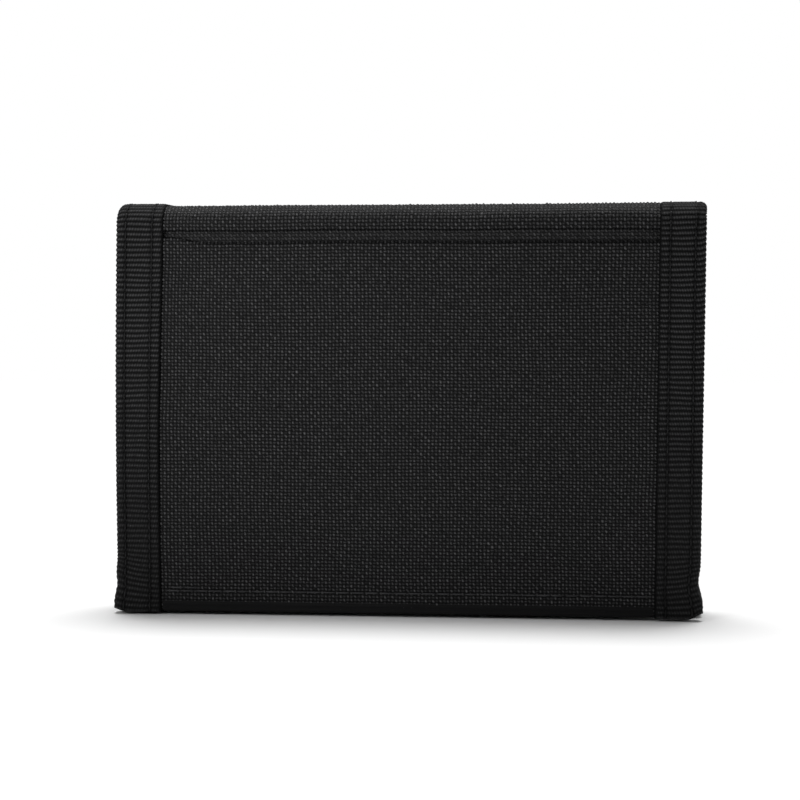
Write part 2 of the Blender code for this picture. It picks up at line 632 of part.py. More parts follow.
# ---------------------------------------------------------------- the whole wallet
def main():
    for old in list(bpy.data.objects):
        bpy.data.objects.remove(old, do_unlink=True)

    back_panel = make_hinge("back_panel_frame", (0.0, 0.0, 0.0))
    top_fold = make_hinge("top_fold_back_crease", BACK_CREASE, back_panel)
    front_flap = make_hinge("top_fold_front_crease", FRONT_CREASE, top_fold)
    inner_flap = make_hinge("inner_flap_crease", INNER_CREASE, back_panel)
    slider = make_hinge("zip_slider_track", (SLIDER_REST, PLATE_Y, ZIP_HEIGHT), front_flap)
    pull = make_hinge("zip_pull_pivot", (SLIDER_REST, PULL_Y, ZIP_HEIGHT), slider)

    build_back_panel(back_panel)
    build_card_pockets(back_panel)
    build_bottom_fold(back_panel)
    build_top_fold(top_fold)
    build_front_flap(front_flap)
    build_coin_pocket(front_flap)
    closure_strip("hook_strip", "hook_tape", front_flap, FRONT["lining"][1] + LAYER_GAP)
    loop_front = INNER["shell"][0] - LAYER_GAP - closure_thickness()
    build_inner_flap(inner_flap)
    build_window(inner_flap)
    closure_strip("loop_strip", "loop_tape", inner_flap, loop_front)
    build_slider(slider)
    build_pull(pull)


main()
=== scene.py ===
"""Looks of the trifold wallet: woven nylon, ribbed binding tape, stitches, pockets, window, zip.

One strip of woven nylon makes the whole outside. Its route runs up the front flap, over the top,
down the back panel, under the bottom and up the inner flap, and every layer follows that route.
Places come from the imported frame. X runs along the folds, Y through the thickness, Z is up.
Units are metres.
"""
import math

import bmesh
import bpy
import numpy as np
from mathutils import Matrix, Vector


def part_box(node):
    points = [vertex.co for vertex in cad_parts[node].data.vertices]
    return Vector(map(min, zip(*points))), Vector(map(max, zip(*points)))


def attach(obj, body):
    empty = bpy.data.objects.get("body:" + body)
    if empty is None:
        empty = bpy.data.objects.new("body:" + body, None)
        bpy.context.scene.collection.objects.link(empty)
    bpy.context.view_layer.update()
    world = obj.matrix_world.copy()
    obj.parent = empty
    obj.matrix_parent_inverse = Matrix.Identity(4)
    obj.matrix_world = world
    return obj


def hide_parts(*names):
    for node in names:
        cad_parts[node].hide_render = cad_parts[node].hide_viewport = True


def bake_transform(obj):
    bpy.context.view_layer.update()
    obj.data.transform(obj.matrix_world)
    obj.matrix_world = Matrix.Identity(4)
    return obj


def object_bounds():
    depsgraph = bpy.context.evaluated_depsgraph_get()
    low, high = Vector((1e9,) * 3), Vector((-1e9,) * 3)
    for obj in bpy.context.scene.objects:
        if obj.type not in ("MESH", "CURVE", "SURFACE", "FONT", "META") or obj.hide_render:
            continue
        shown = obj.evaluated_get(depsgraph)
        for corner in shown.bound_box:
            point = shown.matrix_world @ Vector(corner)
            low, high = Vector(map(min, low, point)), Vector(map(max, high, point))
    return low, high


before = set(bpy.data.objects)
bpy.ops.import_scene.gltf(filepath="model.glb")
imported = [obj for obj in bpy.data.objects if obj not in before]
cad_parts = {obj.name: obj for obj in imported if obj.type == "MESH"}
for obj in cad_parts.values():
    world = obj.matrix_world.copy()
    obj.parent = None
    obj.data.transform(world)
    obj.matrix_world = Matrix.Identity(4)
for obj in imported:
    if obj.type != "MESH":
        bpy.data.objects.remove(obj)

CAD_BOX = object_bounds()

# ---------------------------------------------------------------- cloth
SHELL_YARNS = (0.0008, 0.000735)    # yarn spacing of the woven shell, across and along
FINE_YARN = 0.00034                 # linings and pockets
HEM_YARN = 0.00026
RIB = 0.00109                       # rib spacing of the binding tape
TAPE_STEP = RIB / 4                 # rows of the tape's mesh
TAPE_YARN = 0.00056                 # fine yarns that cross the ribs
SHELL_PROUD = 0.0003                # the woven nylon swells past its plain solid
SHELL_TUCK = 0.0008                 # how far the full weave goes on under the tapes
HIDDEN_COLUMNS = (0.004, 0.008)     # columns of the mesh further under the tapes
SHELL_THICKNESS = 0.0006
TAPE_THICKNESS = 0.00048
FINE_THICKNESS = 0.00028
HEM_THICKNESS = 0.0003
HEM_STEP = 0.001
HEM_TURN = 0.0011                   # how far a pocket's hem is turned in
HEM_SHORT = 0.0004                  # the shown wall of a flap's hem is narrower than the hidden one
HEM_RECESS = 0.00012                # shallow hollow along a hem, beside its folded edge
RIB_HEIGHT = 0.00021
RIB_FADE_SPAN = (0.025, 0.085)          # distances from the top between which the ribs flatten and their painted crest highlights dim
TAPE_GRAIN = 0.00002                # fine yarns along a rib
TAPE_FUZZ = 0.000012
RIB_FADE_DOWN = 0.45                     # the ribs flatten towards the bottom of the wallet, and their painted crest highlights dim
YARN_HEIGHT = 0.00010               # crossing of two yarns above the gaps between them
FLOAT_HEIGHT = 0.00008              # a yarn that runs up the panel stands higher than one across
COIL_PITCH = 0.00125                # zip coil: spacing, half width and wire
COIL_REACH = 0.0019
COIL_WIRE = 0.00022
COIL_STATIONS = 9
METAL_ROUND = 0.00012
FILM_WAVE = 0.00012
FILM_THICKNESS = 0.0002
FRAME_LEVEL = 0.005                 # window frame: its level strips, upright strips and seam
FRAME_UPRIGHT = 0.0075
FRAME_SEAM = 0.0008
STRIP_STEP = 0.0008                 # grid of narrow strips
STRIP_BASE = 0.0003                 # woven base of the hook and the loop strip
TUFT_STATIONS = 7
HOOK_GRID = ((0.00155, 0.00125), 0.0012)    # spacing both ways, and margin
HOOK_REACH = 0.00034
HOOK_WIRE = 0.0001
LOOP_GRID = ((0.00105, 0.00095), 0.0009)
LOOP_STRAY = 0.0004
LOOP_WIDTH = 0.0011
LOOP_WIRE = 0.00005
FINE_STEP = 0.0016                  # grid of the smooth linings

# ---------------------------------------------------------------- folds and edges
PLATE_CUT = 0.0006                  # a stiffener is this much shorter at each end than its solid
LINING_RADIUS = 0.001
DIVIDER_FOOT = 0.0010               # foot of the bill divider above the bottom fold's lining
BASE_LIFT = 0.0004
LAYER_GAP = 0.0002
TOP_RADIUS = 0.005
BASE_RADIUS = 0.0015
BASE_DEPTH = 0.0016                 # shell and lining under the bottom fold
TAPE_ROUND = 0.0016                 # where the tape turns over an edge
HEM_ROUND = 0.0005
PLY_SLANT = 0.45                    # the twist of the yarns slants their highlights
YARN_WANDER = 0.00005               # unevenness of single crossings
SHELL_WAVE = 0.00006                # unevenness of the cloths
LINING_WAVE = 0.00005
STRIP_WAVE = 0.00003
SLIGHT_WAVE = 0.00002
YARN_WAVE = 0.00016                 # slow waves of the yarns' lines
RIB_WAVE = 0.00014                  # slow waves of the tape's ribs
CREASE_DROP = 0.0058                # upper edge of the sewn crease, below the top fold's outside
CREASE_DEPTH = 0.0010
CREASE_PAINTED_SHADE = 0.95               # painted shade: the yarns in the sewn crease are coloured darker
CREASE_WIDTH = 0.0024
CREASE_RISE = 0.0012                # the crease starts narrower beside the left tape
CROWN = 0.00030                     # the cloth bulges over the top fold
CROWN_SLOPE = 0.0025                # more of it on the right
PUFF = 0.0002                       # swelling just below the crease
SEAM_SINK = 0.00012                 # how deep the lower seam pulls in
LOWER_SEAM = 0.0050                 # row of stitches above the lower end of a panel
TIGHT_RADIUS = 0.0006               # inner side of the tape at a fold
TAPE_OVERHANG = 0.0003              # the flap's tape ends a little below its hem
RIGHT_LEAN = 0.0010                 # the right edge leans in towards the bottom
LEFT_BOW = 0.0004
TAPE_SLANT = 0.0008                 # the left tape is wider at its upper end
RIBS_PULLED = (0.0017, 0.00119)     # these four are for the left and the right lower corner
CORNER_TURNED = (0.0007, 0.0012)
CORNER_FLARE = (0.0009, 0.0006)
EDGE_DENT = (-0.0003, 0.0004)
PULL_FADE = (0.016, 0.008)          # heights between which each of these grows
PULL_FOOT = (0.0, 0.007)
TURN_FADE = (0.006, 0.0)
FLARE_FADE = (0.0055, 0.0015)
DENT_PLACE = (0.0070, 0.0024)       # height and half width of the dent in the edge
SLANT_RISE = (0.030, 0.088)         # heights between which the left tape widens
SLANT_WIDTH = 0.0065

# ---------------------------------------------------------------- stitches
THREAD = 0.00017                    # radius
TAPE_SEAMS = (0.0021, 0.0074)       # rows on the binding tape, from its outer edge
TAPE_STITCH = 0.00218
PANEL_STITCH = 0.0031
STITCH_GAP = 0.00045
THREAD_SEAT = 0.00006               # height of a thread above the tape's walls
THREAD_LIFT = 0.00005               # above a binding
ON_SHELL = 0.0001
ON_CLOTH = 0.00002
ON_STRIP = 0.00004                  # above the zip's tapes and the window's frame
STITCH_RISE = (-0.00022, 0.00008, 0.00013, 0.00008, -0.00022)     # a stitch dives in at both ends
STITCH_SWELL = (0.6, 1.0, 1.05, 1.0, 0.6)
SEAM_POINTS = 40
SEAM_INSET = 0.0008                 # a seam's ends from the tapes, and a hem's seam from its edge
DOUBLE_GAP = 0.0007
COIN_SEAM = 0.0016                  # above the foot of the coin pocket
ZIP_SEAM = 0.0045                   # each side of the zip's middle
EDGE_SEAM = 0.0009                  # from the inner edge of a lining's binding
BINDING_GAP = 0.0006                # level seams inside stop this far before that binding
SEAM_DENT = 0.00016                 # how deep a seam pulls into the tape
DENT_WIDTH = 0.00036
DOUBLE_SEAM = (-0.0520, -0.0456)    # the lower seam is sewn twice near its left end

SHARP_ANGLE = math.radians(70)

# ---------------------------------------------------------------- light and camera
FLOOR_GAP = 0.0002
FLOOR_SIZE = 3.0
FILL = 0.28                         # light from all round
SUN_ENERGY = 3.10
SUN_ANGLE = math.radians(28)        # wide, for a soft shadow
SUN_PLACE = (0.0, 0.22, 1.0)
SPOT_ENERGY = 6.5
SPOT_RADIUS = 0.05
SPOT_ANGLE = math.radians(24)
SPOT_PLACE = (-0.26, -0.40, 0.26)
SPOT_X = -0.035                     # where on the face the spot is aimed
SPOT_Z = 0.080
CAMERA_AZIMUTH = math.radians(6.0)
CAMERA_ELEVATION = math.radians(2.6)
CAMERA_DISTANCE = 0.50
VIEW_WIDTH = 0.1716                 # width of the picture at that distance
AIM_SHIFT = (-0.0015, 0.0, 0.00226)

AXES = {"x": 0, "y": 1, "z": 2}


def low(node, axis):
    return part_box(node)[0][AXES[axis]]


def high(node, axis):
    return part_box(node)[1][AXES[axis]]


# ---------------------------------------------------------------- places in the frame
FACE = low("front_flap_binding_left", "y")
REAR = high("back_binding_left", "y")
TOP = high("top_fold_binding_left", "z")
EDGE = high("back_binding_right", "x")
TAPE_EDGE = low("back_binding_right", "x")
SHEET_EDGE = high("back_shell", "x")
INNER_FACE = low("inner_flap_binding_left", "y")
MID_TOP = (FACE + REAR) / 2
MID_BASE = (INNER_FACE + REAR) / 2
FLAP_BOTTOM = low("front_flap_binding_left", "z")
PANEL_BOTTOM = low("back_shell", "z")
PANEL_TOP = high("back_shell", "z")
INNER_TOP = high("inner_flap_binding_left", "z")
TAPE_WRAP = high("front_flap_binding_left", "y") - high("coin_pocket_lower_panel", "y")
SHELL_TOP = high("top_fold_shell", "z") + SHELL_PROUD
SHELL_FACE = low("front_flap_shell", "y") - SHELL_PROUD
SHELL_REAR = high("back_shell", "y") + SHELL_PROUD
SHELL_BASE = low("bottom_fold_shell", "z") - SHELL_PROUD
SHELL_INNER = low("inner_flap_shell", "y")

random = np.random.default_rng(7)


# ---------------------------------------------------------------- curves and grids
def ramp(x, start, end):
    """Smooth rise from 0 at start to 1 at end."""
    t = np.clip((x - start) / (end - start), 0.0, 1.0)
    return t * t * (3 - 2 * t)


def hill(x, middle, half_width):
    """Smooth hump of height 1."""
    return np.exp(-(((x - middle) / half_width) ** 2))


def unit(vectors):
    return vectors / np.linalg.norm(vectors, axis=-1)[..., None]


def distances(points):
    """Length walked along a path at each of its points."""
    return np.concatenate([[0.0], np.cumsum(np.linalg.norm(np.diff(points, axis=0), axis=1))])


def bend(corners, radii, counts):
    """Path of straight runs joined by square, rounded corners; counts[k] steps on stretch k."""
    corners = [np.array(corner, float) for corner in corners]
    points = [corners[0]]

    def run_to(end, count):
        start = points[-1]
        points.extend(start + (end - start) * step / count for step in range(1, count + 1))

    for turn, radius in enumerate(radii):
        corner = corners[turn + 1]
        back = unit(corners[turn] - corner)
        ahead = unit(corners[turn + 2] - corner)
        run_to(corner + back * radius, counts[2 * turn])
        centre = corner + (back + ahead) * radius
        arc = counts[2 * turn + 1]
        for step in range(1, arc + 1):
            angle = math.pi / 2 * step / arc
            points.append(centre - ahead * radius * math.cos(angle) - back * radius * math.sin(angle))
    run_to(corners[-1], counts[-1])
    return np.array(points)


def count_steps(corners, radii, step):
    """How many steps of about one length fit each straight run and each round corner."""
    cuts = [0.0, *radii, 0.0]
    counts = []
    for k, (start, end) in enumerate(zip(corners, corners[1:])):
        run = math.dist(start, end) - cuts[k] - cuts[k + 1]
        counts.append(max(1, round(run / step)))
        if k < len(radii):
            counts.append(max(2, round(radii[k] * math.pi / 2 / step)))
    return counts


def path_normals(path):
    """Unit normals of a path in the YZ plane; the strip's route has its outside on this side."""
    along = unit(np.gradient(path, axis=0))
    return np.stack([-along[:, 1], along[:, 0]], 1)


def settle(points):
    """Small unevenness of a sewn wallet, by place: leaning edges and turned-up lower corners."""
    x, z = points[..., 0], points[..., 2]
    beside = ramp(np.abs(x), 0.02, EDGE)
    rise = np.clip(z / TOP, 0.0, 1.0)
    moved = points.copy()
    moved[..., 0] -= np.where(x > 0, RIGHT_LEAN * (1 - rise), LEFT_BOW * np.sin(math.pi * rise)) * beside
    outward = np.clip((np.abs(x) - TAPE_EDGE) / (EDGE - TAPE_EDGE), 0.0, 1.2)
    right = (x > 0).astype(int)
    pulled = np.take(RIBS_PULLED, right) * ramp(z, *PULL_FADE) * ramp(z, *PULL_FOOT) * outward ** 2
    turned = np.take(CORNER_TURNED, right) * ramp(z, *TURN_FADE) * ramp(outward, 0.70, 1.02)
    moved[..., 2] += pulled + turned
    dent = np.take(EDGE_DENT, right) * hill(z, *DENT_PLACE)
    flare = np.take(CORNER_FLARE, right) * ramp(z, *FLARE_FADE) - dent
    moved[..., 0] += np.sign(x) * flare * outward
    moved[..., 0] += TAPE_SLANT * ramp(z, *SLANT_RISE) * hill(x, -TAPE_EDGE, SLANT_WIDTH)
    return moved


def ripple(x, s, size):
    """Slow, shallow waves in a cloth."""
    waves = np.sin(x * 71 + s * 23 + 1.3) + np.sin(x * 31 - s * 87 + 0.4) + 0.6 * np.sin(x * 163 + s * 141)
    return size * waves / 2.6


# ---------------------------------------------------------------- meshes
def every(count, step):
    """Indices of a coarse grid inside a fine one, with both ends."""
    return np.unique([*range(0, count, step), count - 1])


CLOTHS = {}     # piece name: the piece, its flat size, how it is held, and what is sewn on it


def declare(piece, width, length, held):
    CLOTHS[piece.name] = (piece, (float(width), float(length)), held, [])
    return piece


def sewn_on(cloth_name, *pieces):
    CLOTHS[cloth_name][3].extend(pieces)


def new_piece(name, points, faces):
    mesh = bpy.data.meshes.new(name)
    mesh.from_pydata(points, [], faces)
    mesh.shade_smooth()
    mesh.set_sharp_from_angle(angle=SHARP_ANGLE)
    piece = bpy.data.objects.new(name, mesh)
    bpy.context.collection.objects.link(piece)
    return piece


def cloth(name, face, under, rows, columns, yarns):
    """Closed cloth: a fine face, and an underside that follows only some of its rows and columns.

    yarns holds three numbers for each point of the face: its place counted in yarns across and
    along, and its painted light from 0 to 1: highlight where it stands high in the weave, shade where it
    lies low or in a crease or dent.
    """
    tall, wide = face.shape[:2]
    top = np.arange(tall * wide).reshape(tall, wide)
    bottom = tall * wide + np.arange(len(rows) * len(columns)).reshape(len(rows), len(columns))
    shown = np.stack([top[:-1, :-1], top[:-1, 1:], top[1:, 1:], top[1:, :-1]], -1)
    hidden = np.stack([bottom[:-1, :-1], bottom[1:, :-1], bottom[1:, 1:], bottom[:-1, 1:]], -1)
    quads = shown.reshape(-1, 4).tolist() + hidden.reshape(-1, 4).tolist()
    for k, (a, b) in enumerate(zip(columns, columns[1:])):
        quads.append([*top[0, a:b + 1][::-1].tolist(), int(bottom[0, k]), int(bottom[0, k + 1])])
        quads.append([*top[-1, a:b + 1].tolist(), int(bottom[-1, k + 1]), int(bottom[-1, k])])
    for k, (a, b) in enumerate(zip(rows, rows[1:])):
        quads.append([*top[a:b + 1, 0].tolist(), int(bottom[k + 1, 0]), int(bottom[k, 0])])
        quads.append([*top[a:b + 1, -1][::-1].tolist(), int(bottom[k, -1]), int(bottom[k + 1, -1])])
    across = face[0, 1] - face[0, 0]
    along = face[1, 0] - face[0, 0]
    if np.dot(np.cross(across, along), face[0, 0] - under[0, 0]) < 0:
        quads = [quad[::-1] for quad in quads]
    points = settle(np.concatenate([face.reshape(-1, 3), under.reshape(-1, 3)]))
    piece = new_piece(name, points, quads)
    inner = yarns[np.ix_(rows, columns)].copy()
    inner[..., 2] = 0.5
    values = np.concatenate([yarns.reshape(-1, 3), inner.reshape(-1, 3)]).astype(np.float32)
    attribute = piece.data.attributes.new("yarns", "FLOAT_VECTOR", "POINT")
    attribute.data.foreach_set("vector", values.ravel())
    return piece


def sheet_along(name, xs, path, lift, thickness, yarns, facing=1.0, coarse=(6, 24), slip=None):
    """A cloth with xs across and a YZ path along. facing -1 shows the side away from the normals.

    slip moves each point of the face within the cloth, across and along.
    """
    normals = facing * path_normals(path)
    face = np.empty((len(path), len(xs), 3))
    face[..., 0] = xs
    face[..., 1:] = path[:, None] + normals[:, None] * lift[..., None]
    if slip is not None:
        ahead = np.stack([normals[:, 1], -normals[:, 0]], 1)
        face[..., 0] += slip[0]
        face[..., 1:] += ahead[:, None] * slip[1][..., None]
    rows, columns = every(len(path), coarse[0]), every(len(xs), coarse[1])
    under = np.empty((len(rows), len(columns), 3))
    under[..., 0] = xs[columns]
    under[..., 1:] = (path - normals * thickness)[rows][:, None]
    return cloth(name, face, under, rows, columns, yarns)


def fine_sheet(name, x_span, path, facing=1.0, yarn=FINE_YARN, thickness=FINE_THICKNESS, wave=LINING_WAVE):
    """A smooth cloth with slow waves."""
    xs = np.linspace(*x_span, max(2, round((x_span[1] - x_span[0]) / FINE_STEP)) + 1)
    length = distances(path)
    lift = ripple(xs[None], length[:, None], wave)
    yarns = np.zeros((len(path), len(xs), 3))
    yarns[..., 0] = xs / yarn
    yarns[..., 1] = (length / yarn)[:, None]
    yarns[..., 2] = 0.6
    return sheet_along(name, xs, path, lift, thickness, yarns, facing, coarse=(3, 8))


def upright(y, z_low, z_high, step=FINE_STEP):
    """Straight vertical path."""
    return bend([(y, z_low), (y, z_high)], [], [max(2, round((z_high - z_low) / step))])


# ---------------------------------------------------------------- woven shell
def weave(rows, columns, noise):
    """Height of a plain weave sampled at half a yarn's spacing; rows and columns count the samples."""
    up = np.cos(math.pi / 2 * rows)[:, None]
    over = np.cos(math.pi / 2 * columns)[None]
    crossing = up * over
    height = YARN_HEIGHT * (np.abs(up) + np.abs(over) - 1) + FLOAT_HEIGHT * np.clip(crossing, 0, 1)
    height *= 1 + 0.35 * noise.standard_normal(height.shape) * (np.abs(crossing) > 0.5)
    return height


def shell_columns():
    """Samples across a shell: half a yarn apart between the tapes, and few under the tapes."""
    half_yarn = SHELL_YARNS[0] / 2
    reach = math.ceil((TAPE_EDGE + SHELL_TUCK) / half_yarn)
    counts = np.arange(-reach, reach + 1)
    hidden = np.array(HIDDEN_COLUMNS)
    outer = reach * half_yarn + hidden
    xs = np.concatenate([-outer[::-1], counts * half_yarn, outer])
    numbers = np.concatenate([-reach - hidden[::-1] / half_yarn, counts, reach + hidden / half_yarn])
    return xs, numbers


def crease_at(x, z):
    """1 in the sewn crease below the top fold, 0 away from it."""
    top = TOP - CREASE_DROP
    end = top - CREASE_WIDTH + CREASE_RISE * ramp(x, -0.043, -0.053)
    return ramp(z, top + 0.0001, top - 0.0003) * ramp(z, end - 0.0006, end + 0.0004)


def folds(x, z):
    """How far the shell stands out: bulging over the top, sunk at the crease and the lower seam."""
    top = TOP - CREASE_DROP
    crown = ramp(z, top - 0.0002, top + 0.0009) * (CROWN + CROWN_SLOPE * x)
    puff = PUFF * hill(z, top - CREASE_WIDTH - 0.0015, 0.0014)
    return crown + puff - CREASE_DEPTH * crease_at(x, z) - SEAM_SINK * hill(z, LOWER_SEAM, 0.0005)


def shell(name, corners, radii, start_at_fold):
    """Woven shell along a path of straight runs and round corners."""
    xs, across = shell_columns()
    path = bend(corners, radii, count_steps(corners, radii, SHELL_YARNS[1] / 2))
    rows = np.arange(len(path)) - (0 if start_at_fold else len(path) - 1)
    length = distances(path)
    open_part = ramp(TAPE_EDGE - np.abs(xs), -0.0018, 0.0003)[None]
    texture = weave(rows, across, random) * open_part
    lift = texture - SHELL_PROUD * (1 - open_part) + ripple(xs[None], length[:, None], SHELL_WAVE)
    lift += folds(xs[None], path[:, 1][:, None]) * open_part
    # painted shade: darker yarn colour in the sewn crease
    crease_shade = 1 - CREASE_PAINTED_SHADE * crease_at(xs[None], path[:, 1][:, None])
    slip = random.standard_normal((2, *lift.shape)) * YARN_WANDER
    slip[0] += ripple(xs[None] * 2.3, length[:, None] * 3.1, YARN_WAVE)
    slip[1] += ripple(xs[None] * 1.7 + 0.4, length[:, None] * 2.6, YARN_WAVE)
    slip *= open_part
    yarns = np.empty((*lift.shape, 3))
    yarns[..., 0] = across / 2
    yarns[..., 1] = (rows / 2)[:, None]
    span = YARN_HEIGHT + FLOAT_HEIGHT
    # the weave's height, darkened in the crease, is painted as highlight and shade by the material
    yarns[..., 2] = np.clip((texture + YARN_HEIGHT) / (span + YARN_HEIGHT), 0, 1) * crease_shade
    piece = sheet_along(name, xs, path, lift, SHELL_THICKNESS, yarns, slip=slip)
    declare(piece, 2 * SHEET_EDGE, length[-1], "folded")
    return piece


# ---------------------------------------------------------------- tape and hems
def wrap(outer, inner, across, edge, widths, step, corner):
    """A tape turned over an edge: its points, outward normals and width unrolled.

    outer and inner are the two walls' lines, edge is the web's place along the across direction,
    and widths are how far the walls reach back from it.
    """
    gap = inner - outer
    depth = np.linalg.norm(gap, axis=1)
    inward = gap / depth[:, None]
    depth = depth[:, None]
    round_off = np.minimum(corner, 0.45 * depth)
    quarter = np.linspace(0.0, math.pi / 2, max(3, round(corner * math.pi / 2 / step)) + 1)[None]
    front = np.linspace(0.0, 1.0, max(3, round((widths[0] - corner) / step)) + 1)[None, :-1]
    web = np.linspace(0.0, 1.0, max(2, round(float(depth.max() - 2 * corner) / step)) + 1)[None, 1:-1]
    rear = np.linspace(0.0, 1.0, max(3, round((widths[1] - corner) / step)) + 1)[None, 1:]
    spans = (front, quarter, web, quarter, rear)
    profile = (
        (edge - widths[0] + (widths[0] - round_off) * front, 0.0, 0.0, -1.0),
        (edge - round_off * (1 - np.sin(quarter)), round_off * (1 - np.cos(quarter)),
         np.sin(quarter), -np.cos(quarter)),
        (edge, round_off + (depth - 2 * round_off) * web, 1.0, 0.0),
        (edge - round_off * (1 - np.cos(quarter)), depth - round_off * (1 - np.sin(quarter)),
         np.cos(quarter), np.sin(quarter)),
        (edge - round_off - (widths[1] - round_off) * rear, depth, 0.0, 1.0),
    )
    place, deep, normal_across, normal_deep = (
        np.concatenate([part[k] + 0 * span + 0 * depth for part, span in zip(profile, spans)], 1)
        for k in range(4))
    points = outer[:, None] + across * place[..., None] + inward[:, None] * deep[..., None]
    normals = across * normal_across[..., None] + inward[:, None] * normal_deep[..., None]
    return points, normals, distances(points[len(points) // 2])


def wrapped(name, outer, inner, across, edge, widths, style, rows):
    """Build a wrapped tape or hem. style holds its step, corner, thickness and relief."""
    points, normals, unrolled = wrap(outer, inner, across, edge, widths, style["step"], style["corner"])
    width = unrolled[-1]
    relief, level = style["relief"](rows, unrolled, width)
    sides = np.minimum(unrolled, width - unrolled)
    relief = relief - style["thickness"] * 0.5 * (1 - ramp(sides, -0.0001, style["thickness"]))[None]
    ahead = unit(np.gradient(points, axis=0))
    wave = ripple(unrolled[None] * 5 + edge, rows[:, None] * 0.0012, style["wave"])
    face = points + normals * relief[..., None] + ahead * wave[..., None]
    coarse_rows, columns = every(len(rows), 4), every(len(unrolled), 3)
    under = (points - normals * style["thickness"])[np.ix_(coarse_rows, columns)]
    yarns = np.empty((*relief.shape, 3))
    yarns[..., 0] = unrolled / style["yarn"]
    yarns[..., 1] = (rows * style["row"])[:, None]
    yarns[..., 2] = level
    return cloth(name, face, under, coarse_rows, columns, yarns), width


def rib_relief(rows, unrolled, width):
    """Ribs across the tape, fine yarns along them, and the dents that the two seams make.

    The level paints highlights on the rib crests and shade at the tape's edges and in the seam dents.
    """
    rib = 0.5 + 0.5 * np.cos(math.pi / 2 * rows)[:, None]
    columns = np.arange(len(unrolled))[None]
    yarn = np.cos(math.pi * (columns + np.floor((rows[:, None] + 2) / 4)))
    edges = ramp(np.minimum(unrolled, width - unrolled), 0.0, 0.0007)[None]
    faded_down = RIB_FADE_DOWN * ramp(np.abs(rows) * TAPE_STEP, *RIB_FADE_SPAN)[:, None]
    rib = rib + (0.35 - rib) * faded_down
    relief = (RIB_HEIGHT * rib + TAPE_GRAIN * yarn) * edges
    # painted highlight on the rib crests, fading to painted shade at the tape's edges
    level = rib * edges
    for inset in TAPE_SEAMS:
        from_mouth = (EDGE - TAPE_EDGE) - inset
        for place in (from_mouth, width - from_mouth):
            dent = hill(unrolled, place, DENT_WIDTH)[None]
            relief = relief - SEAM_DENT * dent
            # painted shade in the seam dents
            level = level * (1 - 0.6 * dent)
    uneven = random.standard_normal(relief.shape)
    relief = relief + uneven * TAPE_FUZZ
    return relief, np.clip(level * (1 + 0.12 * uneven), 0, 1)


def smooth_relief(rows, unrolled, width):
    """Slow waves, and a shallow hollow near both free sides of a hem."""
    relief = ripple(unrolled[None] * 3, rows[:, None] * 0.0006, STRIP_WAVE)
    sides = np.minimum(unrolled, width - unrolled)
    relief = relief - HEM_RECESS * hill(sides, 0.0012, 0.0004)[None]
    return relief, np.full(relief.shape, 0.6)


TAPE_STYLE = {
    "step": TAPE_YARN / 2, "corner": TAPE_ROUND, "thickness": TAPE_THICKNESS, "relief": rib_relief,
    "yarn": TAPE_YARN, "row": 0.25, "wave": RIB_WAVE,
}
HEM_STYLE = {
    "step": 0.0004, "corner": HEM_ROUND, "thickness": HEM_THICKNESS, "relief": smooth_relief,
    "yarn": HEM_YARN, "row": HEM_STEP / HEM_YARN, "wave": 0.0,
}


def along_x(path):
    """YZ points as points in space at x = 0."""
    return np.concatenate([np.zeros((len(path), 1)), path], 1)


# ---------------------------------------------------------------- stitches
def tubes(name, spine, hint, wide, tall, sides):
    """Closed tubes round short threads. spine is (count, stations, 3), and hint a way across it."""
    ahead = unit(np.gradient(spine, axis=1))
    side = unit(np.cross(ahead, hint))
    other = np.cross(side, ahead)
    around = (np.arange(sides) * 2 * math.pi / sides)[:, None]
    wide, tall = (np.reshape(size, (-1, 1, 1)) for size in (wide, tall))
    ring = wide * side[..., None, :] * np.cos(around) + tall * other[..., None, :] * np.sin(around)
    points = spine[..., None, :] + ring
    count, stations = spine.shape[:2]
    index = np.arange(count * stations * sides).reshape(count, stations, sides)
    after = np.roll(index, -1, axis=2)
    walls = np.stack([index[:, :-1], index[:, 1:], after[:, 1:], after[:, :-1]], -1).reshape(-1, 4).tolist()
    caps = index[:, 0].tolist() + index[:, -1][:, ::-1].tolist()
    piece = new_piece(name, points.reshape(-1, 3), walls + caps)
    form = bmesh.new()
    form.from_mesh(piece.data)
    bmesh.ops.recalc_face_normals(form, faces=form.faces)
    form.to_mesh(piece.data)
    form.free()
    return piece


def stitches(name, seams):
    """Rows of thread. Each seam is (points, normals, stitch length): a line on the cloth."""
    hints, spines = [], []
    for points, normals, pitch in seams:
        length = distances(points)
        count = int(length[-1] / pitch)
        begin = (np.arange(count) * pitch + (length[-1] - count * pitch) / 2 + STITCH_GAP / 2)[:, None]
        places = begin + np.linspace(0.0, pitch - STITCH_GAP, len(STITCH_RISE))[None]
        spot = np.stack([np.interp(places, length, points[:, axis]) for axis in range(3)], -1)
        up = unit(np.stack([np.interp(places, length, normals[:, axis]) for axis in range(3)], -1))
        spines.append(settle(spot) + up * np.reshape(STITCH_RISE, (1, -1, 1)))
        hints.append(up)
    thick = THREAD * np.array(STITCH_SWELL)
    return tubes(name, np.concatenate(spines), np.concatenate(hints), thick, thick, 6)


def seam(start, end, facing):
    """A straight seam on a panel; facing is -1 where it shows from the front."""
    points = np.linspace(start, end, SEAM_POINTS)
    return points, np.tile((0.0, facing, 0.0), (SEAM_POINTS, 1)), PANEL_STITCH


def seam_across(x_span, y, z, facing):
    return seam((x_span[0], y, z), (x_span[1], y, z), facing)


def seam_up(x, y, z_span, facing):
    return seam((x, y, z_span[0]), (x, y, z_span[1]), facing)


def tape_seams(side, path, facing):
    """The two seams along a tape's wall, on a YZ path; facing is -1 on the wall inside."""
    normals = facing * along_x(path_normals(path))
    seams = []
    for inset in TAPE_SEAMS:
        points = along_x(path)
        points[:, 0] = side * (EDGE - inset)
        seams.append((points + normals * THREAD_SEAT, normals, TAPE_STITCH))
    return seams


